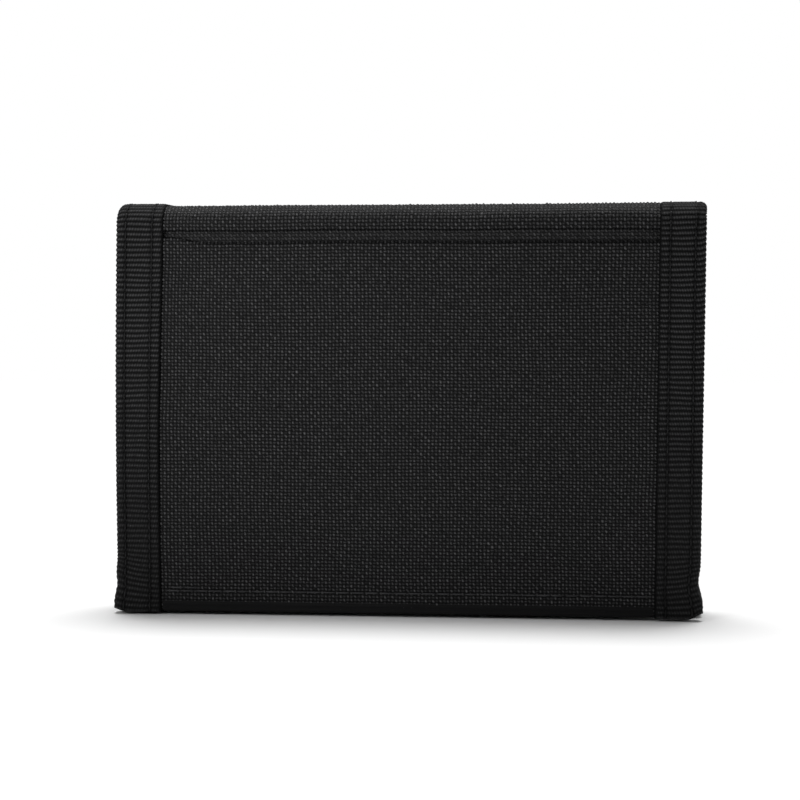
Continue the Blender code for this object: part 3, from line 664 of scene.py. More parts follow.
# ---------------------------------------------------------------- materials
class Look:
    """A Principled material and the few node shortcuts that its pattern needs."""

    def __init__(self, name, roughness, **sockets):
        self.material = bpy.data.materials.new(name)
        self.material.use_nodes = True
        self.nodes = self.material.node_tree.nodes
        self.links = self.material.node_tree.links
        self.shader = self.nodes["Principled BSDF"]
        self.shader.inputs["Roughness"].default_value = roughness
        for socket, value in sockets.items():
            self.shader.inputs[socket.replace("_", " ")].default_value = value

    def plug(self, value, socket):
        if isinstance(value, bpy.types.NodeSocket):
            self.links.new(value, socket)
        else:
            socket.default_value = value

    def math(self, operation, *values):
        node = self.nodes.new("ShaderNodeMath")
        node.operation = operation
        for value, socket in zip(values, node.inputs):
            self.plug(value, socket)
        return node.outputs[0]

    def vector(self, x, y, z=0.0):
        node = self.nodes.new("ShaderNodeCombineXYZ")
        for value, socket in zip((x, y, z), node.inputs):
            self.plug(value, socket)
        return node.outputs[0]

    def noise(self, vector, scale, detail=2.0):
        node = self.nodes.new("ShaderNodeTexNoise")
        self.plug(vector, node.inputs["Vector"])
        node.inputs["Scale"].default_value = scale
        node.inputs["Detail"].default_value = detail
        return node.outputs["Fac"]

    def place(self):
        return self.nodes.new("ShaderNodeTexCoord").outputs["Object"]

    def scaled(self, value, from_low, from_high, to_low, to_high, smooth=False):
        node = self.nodes.new("ShaderNodeMapRange")
        node.interpolation_type = "SMOOTHSTEP" if smooth else "LINEAR"
        for given, socket in zip((value, from_low, from_high, to_low, to_high), node.inputs):
            self.plug(given, socket)
        return node.outputs[0]

    def blend(self, share, first, second):
        node = self.nodes.new("ShaderNodeMix")
        node.data_type = "RGBA"
        self.plug(share, node.inputs["Factor"])
        for colour, name in ((first, "A"), (second, "B")):
            socket = [item for item in node.inputs if item.name == name and item.type == "RGBA"][0]
            self.plug((*colour, 1.0) if isinstance(colour, tuple) else colour, socket)
        return [item for item in node.outputs if item.type == "RGBA"][0]

    def power(self, value, exponent):
        return self.math("POWER", self.math("ABSOLUTE", value), exponent)

    def mixed(self, share, first, second):
        kept = self.math("MULTIPLY", first, self.math("SUBTRACT", 1.0, share))
        return self.math("ADD", kept, self.math("MULTIPLY", second, share))

    def streaks(self, u, v, across, along, offset):
        stretched = self.vector(self.math("MULTIPLY", u, across), self.math("MULTIPLY", v, along), offset)
        return self.noise(stretched, 1.0)

    def yarns(self):
        node = self.nodes.new("ShaderNodeAttribute")
        node.attribute_name = "yarns"
        split = self.nodes.new("ShaderNodeSeparateXYZ")
        self.links.new(node.outputs["Vector"], split.inputs[0])
        return split.outputs

    def colour(self, value):
        self.plug(value, self.shader.inputs["Base Color"])

    def roughness(self, value):
        self.plug(value, self.shader.inputs["Roughness"])

    def bump(self, height, distance, strength=1.0):
        node = self.nodes.new("ShaderNodeBump")
        node.inputs["Strength"].default_value = strength
        node.inputs["Distance"].default_value = distance
        self.links.new(height, node.inputs["Height"])
        self.links.new(node.outputs["Normal"], self.shader.inputs["Normal"])


def woven_look(name, dark, light, relief, roughness, **sockets):
    """Plain weave from the yarns attribute: bulging crossings, and fibres along each yarn.

    The colour paints highlights on the yarns' crowns and shade in the gaps and low places, and paints
    floats across dimmer than floats up.
    """
    look = Look(name, roughness, **sockets)
    u, v, level = look.yarns()
    cos_u = look.math("COSINE", look.math("MULTIPLY", u, math.pi))
    cos_v = look.math("COSINE", look.math("MULTIPLY", v, math.pi))
    over = look.scaled(look.math("MULTIPLY", cos_u, cos_v), -0.3, 0.3, 0.0, 1.0, smooth=True)
    wide_u, wide_v = look.power(cos_u, 0.35), look.power(cos_v, 0.35)
    lean = look.math("MULTIPLY", look.math("SUBTRACT", v, look.math("ROUND", v)), PLY_SLANT)
    leaning = look.math("COSINE", look.math("MULTIPLY", look.math("ADD", u, lean), math.pi))
    slim_u, slim_v = look.power(leaning, 1.7), look.power(cos_v, 1.7)
    pillow = look.mixed(over, look.math("MULTIPLY", wide_u, slim_v), look.math("MULTIPLY", slim_u, wide_v))
    fibre = look.mixed(over, look.streaks(u, v, 1.3, 9.0, 7.0), look.streaks(u, v, 9.0, 1.3, 0.0))
    tone = look.mixed(over, look.streaks(u, v, 0.30, 1.6, 31.0), look.streaks(u, v, 1.6, 0.30, 17.0))
    height = look.math("ADD", look.math("MULTIPLY", pillow, 0.7), look.math("MULTIPLY", fibre, 0.3))
    look.bump(height, relief)
    # painted highlight on the yarns' crowns, painted shade between them; floats across are painted dimmer
    lit = look.math("MULTIPLY", pillow, look.scaled(over, 0.0, 1.0, 0.60, 1.0))
    lit = look.math("MULTIPLY", lit, look.scaled(fibre, 0.3, 0.7, 0.6, 1.3))
    lit = look.math("MULTIPLY", lit, look.scaled(tone, 0.3, 0.7, 0.45, 1.5))
    # painted shade: low places of the weave and the sewn crease are coloured darker
    lit = look.math("MULTIPLY", lit, level)
    look.colour(look.blend(lit, dark, light))
    blotch = look.noise(look.place(), 60.0, 3.0)
    look.roughness(look.scaled(blotch, 0.3, 0.7, roughness - 0.06, roughness + 0.08))
    return look.material


def ribbed_look(name, dark, light, relief, roughness, **sockets):
    """Grosgrain: the yarns attribute counts fine yarns across and ribs along, and its level paints highlights
    on the rib crests.
    """
    look = Look(name, roughness, **sockets)
    u, v, level = look.yarns()
    slant = look.math("ADD", look.math("MULTIPLY", u, 2 * math.pi), look.math("MULTIPLY", v, math.pi))
    yarn = look.scaled(look.math("COSINE", slant), -1.0, 1.0, 0.0, 1.0)
    fuzz = look.noise(look.vector(look.math("MULTIPLY", u, 2.0), look.math("MULTIPLY", v, 14.0)), 1.0)
    height = look.math("ADD", look.math("MULTIPLY", yarn, 0.5), look.math("MULTIPLY", fuzz, 0.5))
    look.bump(height, relief)
    # painted highlight: the rib crests are coloured lighter
    crest_highlight = look.math("MULTIPLY", look.math("POWER", level, 2.0), look.scaled(yarn, 0.0, 1.0, 0.4, 1.0))
    look.colour(look.blend(crest_highlight, dark, light))
    blotch = look.noise(look.place(), 90.0, 3.0)
    look.roughness(look.scaled(blotch, 0.3, 0.7, roughness - 0.05, roughness + 0.08))
    return look.material


def plain_look(name, dark, light, scale, relief, roughness, **sockets):
    """Moulded plastic or metal: fine grain and faint blotches."""
    look = Look(name, roughness, **sockets)
    grain = look.noise(look.place(), scale, 4.0)
    look.bump(grain, relief)
    blotch = look.scaled(look.noise(look.place(), 220.0, 3.0), 0.3, 0.7, 0.0, 1.0)
    look.colour(look.blend(blotch, dark, light))
    look.roughness(look.scaled(grain, 0.25, 0.75, roughness - 0.07, roughness + 0.10))
    return look.material


def film_look(name):
    look = Look(name, 0.08, Transmission_Weight=1.0, IOR=1.45, Specular_IOR_Level=0.5)
    waves = look.noise(look.place(), 55.0, 2.0)
    look.bump(waves, 0.00025, 0.35)
    scuffs = look.noise(look.place(), 900.0, 4.0)
    look.roughness(look.scaled(scuffs, 0.45, 0.75, 0.05, 0.22))
    look.colour(look.blend(look.scaled(waves, 0.3, 0.7, 0.0, 1.0), (0.90, 0.92, 0.92), (0.96, 0.97, 0.97)))
    return look.material


LOOKS = {
    "shell_nylon": woven_look(
        "woven_nylon", (0.0018, 0.0018, 0.0019), (0.090, 0.090, 0.092), 0.00014, 0.50,
        Specular_IOR_Level=0.06),
    "lining_nylon": woven_look(
        "lining_nylon", (0.006, 0.006, 0.0064), (0.026, 0.026, 0.027), 0.00004, 0.52,
        Specular_IOR_Level=0.15),
    "hem_nylon": woven_look(
        "hem_nylon", (0.004, 0.004, 0.0042), (0.010, 0.010, 0.0105), 0.00003, 0.50,
        Specular_IOR_Level=0.08),
    "binding_tape": ribbed_look(
        "binding_tape", (0.0024, 0.0024, 0.0025), (0.061, 0.061, 0.0624), 0.00008, 0.60,
        Specular_IOR_Level=0.05),
    "zip_tape": woven_look(
        "zip_tape", (0.006, 0.006, 0.0065), (0.020, 0.020, 0.021), 0.00004, 0.62,
        Specular_IOR_Level=0.3),
    "thread": plain_look(
        "tape_thread", (0.006, 0.006, 0.0063), (0.014, 0.014, 0.0145), 6000.0, 0.00003, 0.50,
        Specular_IOR_Level=0.12),
    # the panel's thread is coloured lighter than the tape's thread, as a painted highlight on it
    "highlit_panel_thread": plain_look(
        "highlit_panel_thread", (0.022, 0.022, 0.023), (0.050, 0.050, 0.052), 6000.0, 0.00003, 0.50,
        Specular_IOR_Level=0.12),
    "stiffener_plastic": plain_look(
        "stiffener_plastic", (0.035, 0.035, 0.035), (0.05, 0.05, 0.05), 900.0, 0.00003, 0.45),
    "hook_tape": plain_look(
        "hook_nylon", (0.010, 0.010, 0.0105), (0.018, 0.018, 0.019), 3000.0, 0.00002, 0.40,
        Specular_IOR_Level=0.25),
    "loop_tape": plain_look(
        "loop_pile", (0.010, 0.010, 0.0105), (0.022, 0.022, 0.023), 5000.0, 0.00003, 0.75,
        Specular_IOR_Level=0.25, Sheen_Weight=0.2, Sheen_Roughness=0.5),
    "zip_coil": plain_look(
        "zip_coil_nylon", (0.014, 0.014, 0.015), (0.022, 0.022, 0.023), 2500.0, 0.00002, 0.32,
        Specular_IOR_Level=0.5),
    "zip_metal": plain_look(
        "dark_nickel", (0.13, 0.13, 0.135), (0.21, 0.21, 0.215), 2600.0, 0.00002, 0.30,
        Metallic=1.0),
    "window_film": film_look("clear_film"),
}


# ---------------------------------------------------------------- putting pieces on the frame
def add(piece, look, replaced=(), body=None, bends=None):
    """Give a piece its material and slot, and tie it to a body; a piece given bends is left free, with its
    transform baked.
    """
    piece.data.materials.append(LOOKS[look])
    if replaced:
        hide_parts(*replaced)
    if bends:
        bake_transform(piece)
    else:
        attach(piece, body)
    return piece


FRONT_CREASE = ("top_fold", "front_flap", (0, FACE + TOP_RADIUS, TOP), (0, FACE, TOP - TOP_RADIUS))
BACK_CREASE = ("top_fold", "back_panel", (0, REAR - TOP_RADIUS, TOP), (0, REAR, TOP - TOP_RADIUS))
BASE_BEND = 0.0022
INNER_CREASE = ("back_panel", "inner_flap", (0, INNER_FACE + BASE_BEND, 0), (0, INNER_FACE, BASE_BEND))


def build_shells():
    front_end = low("front_flap_shell", "z")
    radius = TOP_RADIUS - (SHELL_FACE - FACE)
    corners = [(SHELL_FACE, front_end), (SHELL_FACE, SHELL_TOP), (MID_TOP, SHELL_TOP)]
    piece = shell("shell_front", corners, [radius], False)
    add(piece, "shell_nylon", ["front_flap_shell"], bends=FRONT_CREASE)
    base_radius = BASE_RADIUS - SHELL_BASE
    corners = [
        (MID_TOP, SHELL_TOP), (SHELL_REAR, SHELL_TOP), (SHELL_REAR, SHELL_BASE), (MID_BASE, SHELL_BASE)]
    piece = shell("shell_back", corners, [radius, base_radius], True)
    add(piece, "shell_nylon", ["back_shell", "top_fold_shell", "bottom_fold_shell"], bends=BACK_CREASE)
    end = high("inner_flap_shell", "z")
    corners = [(MID_BASE, SHELL_BASE), (SHELL_INNER, SHELL_BASE), (SHELL_INNER, end)]
    piece = shell("shell_inner", corners, [base_radius], True)
    add(piece, "shell_nylon", ["inner_flap_shell"], bends=INNER_CREASE)


def shifted(path, profile_z, profile_y):
    """Move a path in Y by a profile of its height."""
    moved = path.copy()
    moved[:, 0] += np.interp(path[:, 1], profile_z, profile_y)
    return moved


def tape_lines(side):
    """Outer and inner wall lines of the tape on one side, for its three lengths."""
    if side < 0:
        fold_front = high("front_flap_lining", "y") + TAPE_WRAP
        fold_back = low("bill_divider", "y") - TAPE_WRAP
    else:
        fold_front = high("front_flap_shell", "y") + TAPE_WRAP
        fold_back = low("back_shell", "y") - TAPE_WRAP
    word = "left" if side < 0 else "right"
    flap_inside = high(f"front_flap_binding_{word}", "y")
    panel_inside = low(f"back_binding_{word}", "y")
    fold_level = TOP - (fold_front - FACE)
    base_level = low("bottom_fold_shell", "z") + BASE_DEPTH + TAPE_WRAP
    base_back = low("back_lining", "y") - TAPE_WRAP
    base_inner = high("inner_flap_lining", "y") + TAPE_WRAP
    tight = TIGHT_RADIUS
    flap_end = FLAP_BOTTOM - TAPE_OVERHANG
    corners = [(FACE, flap_end), (FACE, TOP), (MID_TOP, TOP)]
    counts = count_steps(corners, [TOP_RADIUS], TAPE_STEP)
    outer = bend(corners, [TOP_RADIUS], counts)
    inner = bend([(fold_front, flap_end), (fold_front, fold_level), (MID_TOP, fold_level)], [tight], counts)
    spread = flap_inside - fold_front
    top_fade = [PANEL_TOP - 0.003, PANEL_TOP + 0.0005]
    inner = shifted(inner, top_fade, [spread, 0.0])
    front = (outer, inner)
    corners = [(MID_TOP, TOP), (REAR, TOP), (REAR, 0.0), (MID_BASE, 0.0)]
    radii = [TOP_RADIUS, BASE_RADIUS]
    counts = count_steps(corners, radii, TAPE_STEP)
    outer = bend(corners, radii, counts)
    drop = base_back - fold_back
    corners = [
        (MID_TOP, fold_level),
        (fold_back, fold_level),
        (fold_back, base_level),
        (MID_BASE - drop, base_level),
    ]
    inner = bend(corners, [tight, tight], counts)
    heights = [base_level + 0.001, PANEL_BOTTOM + 0.0025, *top_fade]
    inner = shifted(inner, heights, [drop, panel_inside - fold_back, panel_inside - fold_back, 0.0])
    back = (outer, inner)
    corners = [(MID_BASE, 0.0), (INNER_FACE, 0.0), (INNER_FACE, INNER_TOP)]
    counts = count_steps(corners, [BASE_RADIUS], TAPE_STEP)
    outer = bend(corners, [BASE_RADIUS], counts)
    inner = bend([(MID_BASE, base_level), (base_inner, base_level), (base_inner, INNER_TOP)], [tight], counts)
    spread = high("inner_flap_binding_left", "y") - base_inner
    inner = shifted(inner, [base_level + 0.0012, PANEL_BOTTOM + 0.002], [0.0, spread])
    return front, back, (outer, inner)


def build_tapes():
    seams = {"front": {}, "back": {}, "inner": {}}
    creases = {"front": FRONT_CREASE, "back": BACK_CREASE, "inner": INNER_CREASE}
    nodes = {
        "front": ["front_flap_binding_{}"],
        "back": ["back_binding_{}", "top_fold_binding_{}", "bottom_fold_binding_{}"],
        "inner": ["inner_flap_binding_{}"],
    }
    wall = EDGE - TAPE_EDGE
    for side, word in ((-1, "left"), (1, "right")):
        for part, (outer, inner) in zip(("front", "back", "inner"), tape_lines(side)):
            rows = np.arange(len(outer))
            if part == "front":
                rows = rows - len(outer) + 1
            across = np.array((float(side), 0.0, 0.0))
            piece, width = wrapped(
                f"tape_{part}_{word}", along_x(outer), along_x(inner), across, EDGE, (wall, wall),
                TAPE_STYLE, rows)
            declare(piece, width, len(outer) * TAPE_STEP, "folded")
            add(piece, "binding_tape", [node.format(word) for node in nodes[part]], bends=creases[part])
            seams[part][word] = tape_seams(side, outer, 1.0) + tape_seams(side, inner, -1.0)
    return seams


def lining(name, x_span, corners, radii, length, nodes, crease):
    """Smooth cloth that goes round a fold on the inside."""
    path = bend(corners, radii, count_steps(corners, radii, FINE_STEP / 2))
    piece = fine_sheet(name, x_span, path, facing=-1.0)
    declare(piece, x_span[1] - x_span[0], length, "folded")
    add(piece, "lining_nylon", nodes, bends=crease)


def panel(name, node, body, facing=1.0):
    """Smooth cloth that stands where a node does, and its flat size."""
    (x0, y0, z0), (x1, y1, z1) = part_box(node)
    piece = fine_sheet(name, (x0, x1), upright(y0 if facing > 0 else y1, z0, z1), facing=facing)
    add(piece, "lining_nylon", [node], body=body)
    return piece, x1 - x0, z1 - z0


def build_linings():
    """Linings, bill divider, card pockets and coin pocket panels."""
    span = (low("bill_divider", "x"), high("bill_divider", "x"))
    lining_y = high("front_flap_lining", "y")
    fold_level = TOP - (lining_y - FACE)
    bottom = low("front_flap_lining", "z")
    corners = [(lining_y, bottom), (lining_y, fold_level), (MID_TOP, fold_level)]
    length = fold_level - bottom + MID_TOP - lining_y
    nodes = ["front_flap_lining", "top_fold_lining"]
    lining("lining_front", span, corners, [LINING_RADIUS], length, nodes, FRONT_CREASE)
    divider_y = low("bill_divider", "y")
    foot = low("bottom_fold_lining", "z") + DIVIDER_FOOT
    corners = [(MID_TOP, fold_level), (divider_y, fold_level), (divider_y, foot)]
    length = fold_level - foot + divider_y - MID_TOP
    lining("lining_back", span, corners, [LINING_RADIUS], length, ["bill_divider"], BACK_CREASE)
    span = (low("back_lining", "x"), high("back_lining", "x"))
    y = low("back_lining", "y")
    piece = fine_sheet("bill_compartment_lining", span, upright(y, PANEL_BOTTOM, PANEL_TOP))
    declare(piece, span[1] - span[0], PANEL_TOP - PANEL_BOTTOM, "stretched")
    add(piece, "lining_nylon", ["back_lining"], body="back_panel")
    base = low("bottom_fold_lining", "z") + BASE_LIFT
    inner_y = high("inner_flap_lining", "y")
    end = high("inner_flap_lining", "z")
    back_y = y - LAYER_GAP
    corners = [(back_y, PANEL_BOTTOM), (back_y, base), (inner_y, base), (inner_y, end)]
    length = PANEL_BOTTOM - base + y - inner_y + end - base
    nodes = ["inner_flap_lining", "bottom_fold_lining"]
    lining("lining_inner", span, corners, [LINING_RADIUS, LINING_RADIUS / 2], length, nodes, INNER_CREASE)
    for number in (1, 2, 3):
        node = f"card_pocket_{number}"
        declare(*panel(node + "_cloth", node, "back_panel"), "stretched")
    lower = panel("coin_pocket_lower_cloth", "coin_pocket_lower_panel", "front_flap", -1.0)
    declare(*lower, "stretched")
    upper = panel("coin_pocket_upper_cloth", "coin_pocket_upper_panel", "front_flap", -1.0)
    sewn_on("coin_pocket_lower_cloth", upper[0])


def build_stiffeners():
    """Thin plastic sheets inside two panels, a little shorter than the cloth so that it can lean."""
    for node, body in (("back_stiffener", "back_panel"), ("front_flap_stiffener", "front_flap")):
        (x0, y0, z0), (x1, y1, z1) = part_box(node)
        reach = x1 - PLATE_CUT
        path = upright(y1, z0 + 0.0004, z1 - LAYER_GAP)
        plate = fine_sheet(
            node + "_plate", (-reach, reach), path, facing=-1.0, thickness=y1 - y0, wave=SLIGHT_WAVE)
        add(plate, "stiffener_plastic", [node], body=body)


def hem(name, node, cloth_name, body, across, widths):
    """Binding folded over the edge of a cloth; across points towards its folded edge."""
    (x0, y0, z0), (x1, y1, z1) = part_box(node)
    level = across[2] != 0
    start = (x0, 0.0, 0.0) if level else (0.0, 0.0, z0)
    end = (x1, 0.0, 0.0) if level else (0.0, 0.0, z1)
    line = np.linspace(start, end, round(math.dist(start, end) / HEM_STEP) + 1)
    outer = line + (0.0, y0, 0.0)
    inner = line + (0.0, y1, 0.0)
    edge = max(np.dot(across, (x0, 0.0, z0)), np.dot(across, (x1, 0.0, z1)))
    piece, _ = wrapped(name, outer, inner, np.array(across), edge, widths, HEM_STYLE, np.arange(len(line)))
    add(piece, "hem_nylon", [node], body=body)
    sewn_on(cloth_name, piece)


def build_hems():
    up, down, right = (0.0, 0.0, 1.0), (0.0, 0.0, -1.0), (1.0, 0.0, 0.0)
    for name, node, cloth_name, body, across in (
            ("hem_front_flap_end", "front_flap_end_binding", "shell_front", "front_flap", down),
            ("hem_inner_flap_end", "inner_flap_end_binding", "shell_inner", "inner_flap", up)):
        height = high(node, "z") - low(node, "z")
        hem(name, node, cloth_name, body, across, (height - HEM_SHORT, height))
    for number in (1, 2, 3):
        node = f"card_pocket_{number}_hem"
        widths = (high(node, "z") - low(node, "z"), HEM_TURN)
        hem(f"hem_card_pocket_{number}", node, f"card_pocket_{number}_cloth", "back_panel", up, widths)
    for name, node, cloth_name, body in (
            ("hem_bill_divider", "bill_divider_binding", "lining_back", "back_panel"),
            ("hem_front_lining", "front_flap_lining_binding", "lining_front", "front_flap")):
        width = high(node, "x") - low(node, "x")
        hem(name, node, cloth_name, body, right, (width, width))


def build_window():
    """Clear film and the frame sewn round it."""
    (x0, y0, z0), (x1, y1, z1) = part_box("id_window")
    path = upright(y1, z0, z1)
    xs = np.linspace(x0, x1, 60)
    lift = ripple(xs[None], path[:, 1][:, None], FILM_WAVE)
    yarns = np.zeros((len(path), len(xs), 3))
    film = sheet_along("window_film", xs, path, lift, FILM_THICKNESS, yarns, facing=-1.0, coarse=(3, 6))
    add(film, "window_film", ["id_window"], body="inner_flap")
    sewn_on("lining_inner", film)
    (fx0, fy0, fz0), (fx1, fy1, fz1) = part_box("id_window_frame")
    inner_z = (fz0 + FRAME_LEVEL, fz1 - FRAME_LEVEL)
    strips = {
        "window_frame_lower": ((fx0, fx1), (fz0, inner_z[0])),
        "window_frame_upper": ((fx0, fx1), (inner_z[1], fz1)),
        "window_frame_left": ((fx0, fx0 + FRAME_UPRIGHT), inner_z),
        "window_frame_right": ((fx1 - FRAME_UPRIGHT, fx1), inner_z),
    }
    for name, (x_span, z_span) in strips.items():
        path = upright(fy1, *z_span, step=STRIP_STEP)
        strip = fine_sheet(name, x_span, path, facing=-1.0, yarn=HEM_YARN, wave=STRIP_WAVE)
        add(strip, "hem_nylon", ["id_window_frame"], body="inner_flap")
        sewn_on("lining_inner", strip)
    y = fy1 + ON_STRIP
    left, right = fx0 + FRAME_UPRIGHT - FRAME_SEAM, fx1 - FRAME_UPRIGHT + FRAME_SEAM
    lower, upper = inner_z[0] - FRAME_SEAM, inner_z[1] + FRAME_SEAM
    seams = [
        seam_across((left, right), y, lower, 1.0), seam_across((left, right), y, upper, 1.0),
        seam_up(left, y, (lower, upper), 1.0), seam_up(right, y, (lower, upper), 1.0),
    ]
    return seams


def sewing(name, rows, look, cloth_name, bends=None, body=None):
    """Stitches that belong to one cloth."""
    piece = stitches(name, rows)
    add(piece, look, body=body, bends=bends)
    sewn_on(cloth_name, piece)


def build_stitches(tape_rows, window_rows):
    """Every seam: on the tapes, along the creases, the pockets, the zip and the window."""
    inside = TAPE_EDGE - SEAM_INSET
    span = (-inside, inside)
    crease = TOP - CREASE_DROP - CREASE_WIDTH / 2
    hollow = CREASE_DEPTH - ON_CLOTH
    levels = {
        "front": (SHELL_FACE + hollow, SHELL_FACE - ON_SHELL, -1.0),
        "back": (SHELL_REAR - hollow, SHELL_REAR + ON_SHELL, 1.0),
    }
    creases = {"front": FRONT_CREASE, "back": BACK_CREASE, "inner": INNER_CREASE}
    for part, rows in tape_rows.items():
        for word, some in rows.items():
            sewing("stitches_tape_" + part + "_" + word, some, "thread", f"tape_{part}_{word}", creases[part])
    for part, (crease_y, seam_y, facing) in levels.items():
        rows = [seam_across(span, crease_y, crease, facing), seam_across(span, seam_y, LOWER_SEAM, facing)]
        if part == "front":
            rows.append(seam_across(DOUBLE_SEAM, seam_y, LOWER_SEAM + DOUBLE_GAP, facing))
        sewing(f"stitches_shell_{part}", rows, "highlit_panel_thread", f"shell_{part}", creases[part])
    sewing("stitches_window", window_rows, "thread", "lining_inner", body="inner_flap")
    coin_y = high("coin_pocket_lower_panel", "y") + ON_CLOTH
    right = low("front_flap_lining_binding", "x") - BINDING_GAP
    zip_z = (low("zip_tape_lower", "z") + high("zip_tape_upper", "z")) / 2
    tape_y = high("zip_tape_lower", "y") + ON_STRIP
    pocket = [seam_across((-inside, right), coin_y, low("coin_pocket_lower_panel", "z") + COIN_SEAM, 1.0)]
    pocket += [seam_across((-inside, right), tape_y, zip_z + way * ZIP_SEAM, 1.0) for way in (-1, 1)]
    edge_x = low("front_flap_lining_binding", "x") + EDGE_SEAM
    edge_y = high("front_flap_lining_binding", "y") + THREAD_LIFT
    pocket.append(seam_up(edge_x, edge_y, (0.006, PANEL_TOP - 0.001), 1.0))
    sewing("stitches_coin_pocket", pocket, "thread", "coin_pocket_lower_cloth", body="front_flap")
    for number in (1, 2, 3):
        node = f"card_pocket_{number}_hem"
        row = seam_across((-inside, right), low(node, "y") - ON_CLOTH, low(node, "z") + SEAM_INSET, -1.0)
        cloth_name = f"card_pocket_{number}_cloth"
        sewing(f"stitches_card_pocket_{number}", [row], "thread", cloth_name, body="back_panel")
    edge_x = low("bill_divider_binding", "x") + EDGE_SEAM
    edge_y = low("bill_divider_binding", "y") - THREAD_LIFT
    row = seam_up(edge_x, edge_y, (PANEL_BOTTOM + 0.002, PANEL_TOP - 0.001), -1.0)
    sewing("stitches_bill_divider", [row], "thread", "lining_back", body="back_panel")


# ---------------------------------------------------------------- zip
def build_coil(word, way):
    """One side of a nylon coil zip: a row of bent loops whose heads meet the other side's."""
    (x0, y0, z0), (x1, y1, z1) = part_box(f"zip_coil_{word}")
    centre = (low("zip_coil_lower", "z") + high("zip_coil_upper", "z")) / 2
    count = int((x1 - x0) / COIL_PITCH)
    starts = x0 + COIL_PITCH * (0.5 + np.arange(count)) + (COIL_PITCH / 2 if way > 0 else 0.0)
    starts = starts[starts < x1 - COIL_PITCH / 3]
    turn = np.linspace(0.0, 1.0, COIL_STATIONS)
    swing = np.cos(math.pi * turn)
    spine = np.empty((len(starts), COIL_STATIONS, 3))
    spine[..., 0] = starts[:, None] + COIL_WIRE * swing
    spine[..., 1] = y0 + COIL_WIRE + (y1 - y0 - 2 * COIL_WIRE) * (0.5 - 0.5 * swing)
    spine[..., 2] = centre + way * (COIL_REACH - 0.00006) - way * COIL_REACH * np.sin(math.pi * turn) ** 0.6
    head = 1 + 0.25 * np.sin(math.pi * turn) ** 4
    wide, tall = COIL_WIRE * head, COIL_WIRE * 12 / 11 * head
    teeth = tubes(f"zip_teeth_{word}", spine, (1.0, 0.0, 0.0), wide, tall, 7)
    add(teeth, "zip_coil", [f"zip_coil_{word}"], body="front_flap")


def build_zip():
    for word, way in (("lower", -1), ("upper", 1)):
        node = f"zip_tape_{word}"
        (x0, y0, z0), (x1, y1, z1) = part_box(node)
        path = upright(y1, z0, z1, step=STRIP_STEP)
        tape = fine_sheet(f"{node}_cloth", (x0, x1), path, facing=-1.0, wave=STRIP_WAVE)
        add(tape, "zip_tape", [node], body="front_flap")
        sewn_on("coin_pocket_lower_cloth", tape)
        build_coil(word, way)
    for name in ("zip_stop_closed_end", "zip_stop_open_end", "zip_slider", "zip_pull_tab"):
        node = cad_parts[name]
        node.data.materials.clear()
        node.data.materials.append(LOOKS["zip_metal"])
        rounding = node.modifiers.new("rounded edges", "BEVEL")
        rounding.width = METAL_ROUND
        rounding.segments = 3
        rounding.limit_method = "ANGLE"
        rounding.angle_limit = math.radians(35)


# ---------------------------------------------------------------- hook and loop
def grid_spots(node, spacing, margin):
    (x0, _, z0), (x1, _, z1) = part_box(node)
    xs = np.arange(x0 + margin, x1 - margin, spacing[0])
    zs = np.arange(z0 + margin, z1 - margin, spacing[1])
    return np.stack(np.meshgrid(xs, zs), -1).reshape(-1, 2)


def hooks(node):
    """Feet, turn by turn shape and heading of stiff hooks in rows, and their thickness."""
    spots = grid_spots(node, *HOOK_GRID)
    turn = np.linspace(0.0, 1.0, TUFT_STATIONS)
    curl = np.clip((turn - 0.4) / 0.6, 0.0, 1.0) * math.pi
    rise = np.where(turn < 0.4, turn / 0.4 * 0.62, 0.62 + 0.38 * np.sin(curl))
    lean = HOOK_REACH * (1 - np.cos(curl))
    heading = np.where(np.arange(len(spots)) % 2, 0.0, math.pi)[:, None]
    height = np.full((len(spots), 1), 0.94)
    return spots, rise, lean, heading, height, HOOK_WIRE


def loops(node):
    """The same for a tangle of soft loops."""
    spots = grid_spots(node, *LOOP_GRID)
    spots = spots + random.uniform(-LOOP_STRAY, LOOP_STRAY, spots.shape)
    turn = np.linspace(0.0, 1.0, TUFT_STATIONS)
    heading = random.uniform(0, 2 * math.pi, (len(spots), 1))
    height = random.uniform(0.6, 1.0, (len(spots), 1))
    return spots, np.sin(turn * math.pi), LOOP_WIDTH * (turn - 0.5), heading, height, LOOP_WIRE


def build_closure():
    """Hook strip and loop strip, each on a woven base."""
    for node, body, facing, look, pile in (
            ("hook_strip", "front_flap", -1.0, "hook_tape", hooks),
            ("loop_strip", "inner_flap", 1.0, "loop_tape", loops)):
        (x0, y0, z0), (x1, y1, z1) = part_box(node)
        foot = y0 if facing < 0 else y1
        path = upright(foot - facing * STRIP_BASE, z0, z1, step=STRIP_STEP)
        base = fine_sheet(f"{node}_base", (x0, x1), path, facing=facing, wave=SLIGHT_WAVE)
        declare(base, x1 - x0, z1 - z0, "stretched")
        add(base, look, [node], body=body)
        spots, rise, lean, heading, height, radius = pile(node)
        height = height * (y1 - y0 - STRIP_BASE - 0.00006)
        spine = np.empty((len(spots), TUFT_STATIONS, 3))
        spine[..., 0] = spots[:, :1] + lean * np.cos(heading)
        spine[..., 1] = foot - facing * (STRIP_BASE + height * rise)
        spine[..., 2] = spots[:, 1:] + lean * np.sin(heading)
        tufts = tubes(f"{node}_tufts", spine, (0.13, 0.21, 0.97), radius, radius, 5)
        add(tufts, look, body=body)
        sewn_on(base.name, tufts)


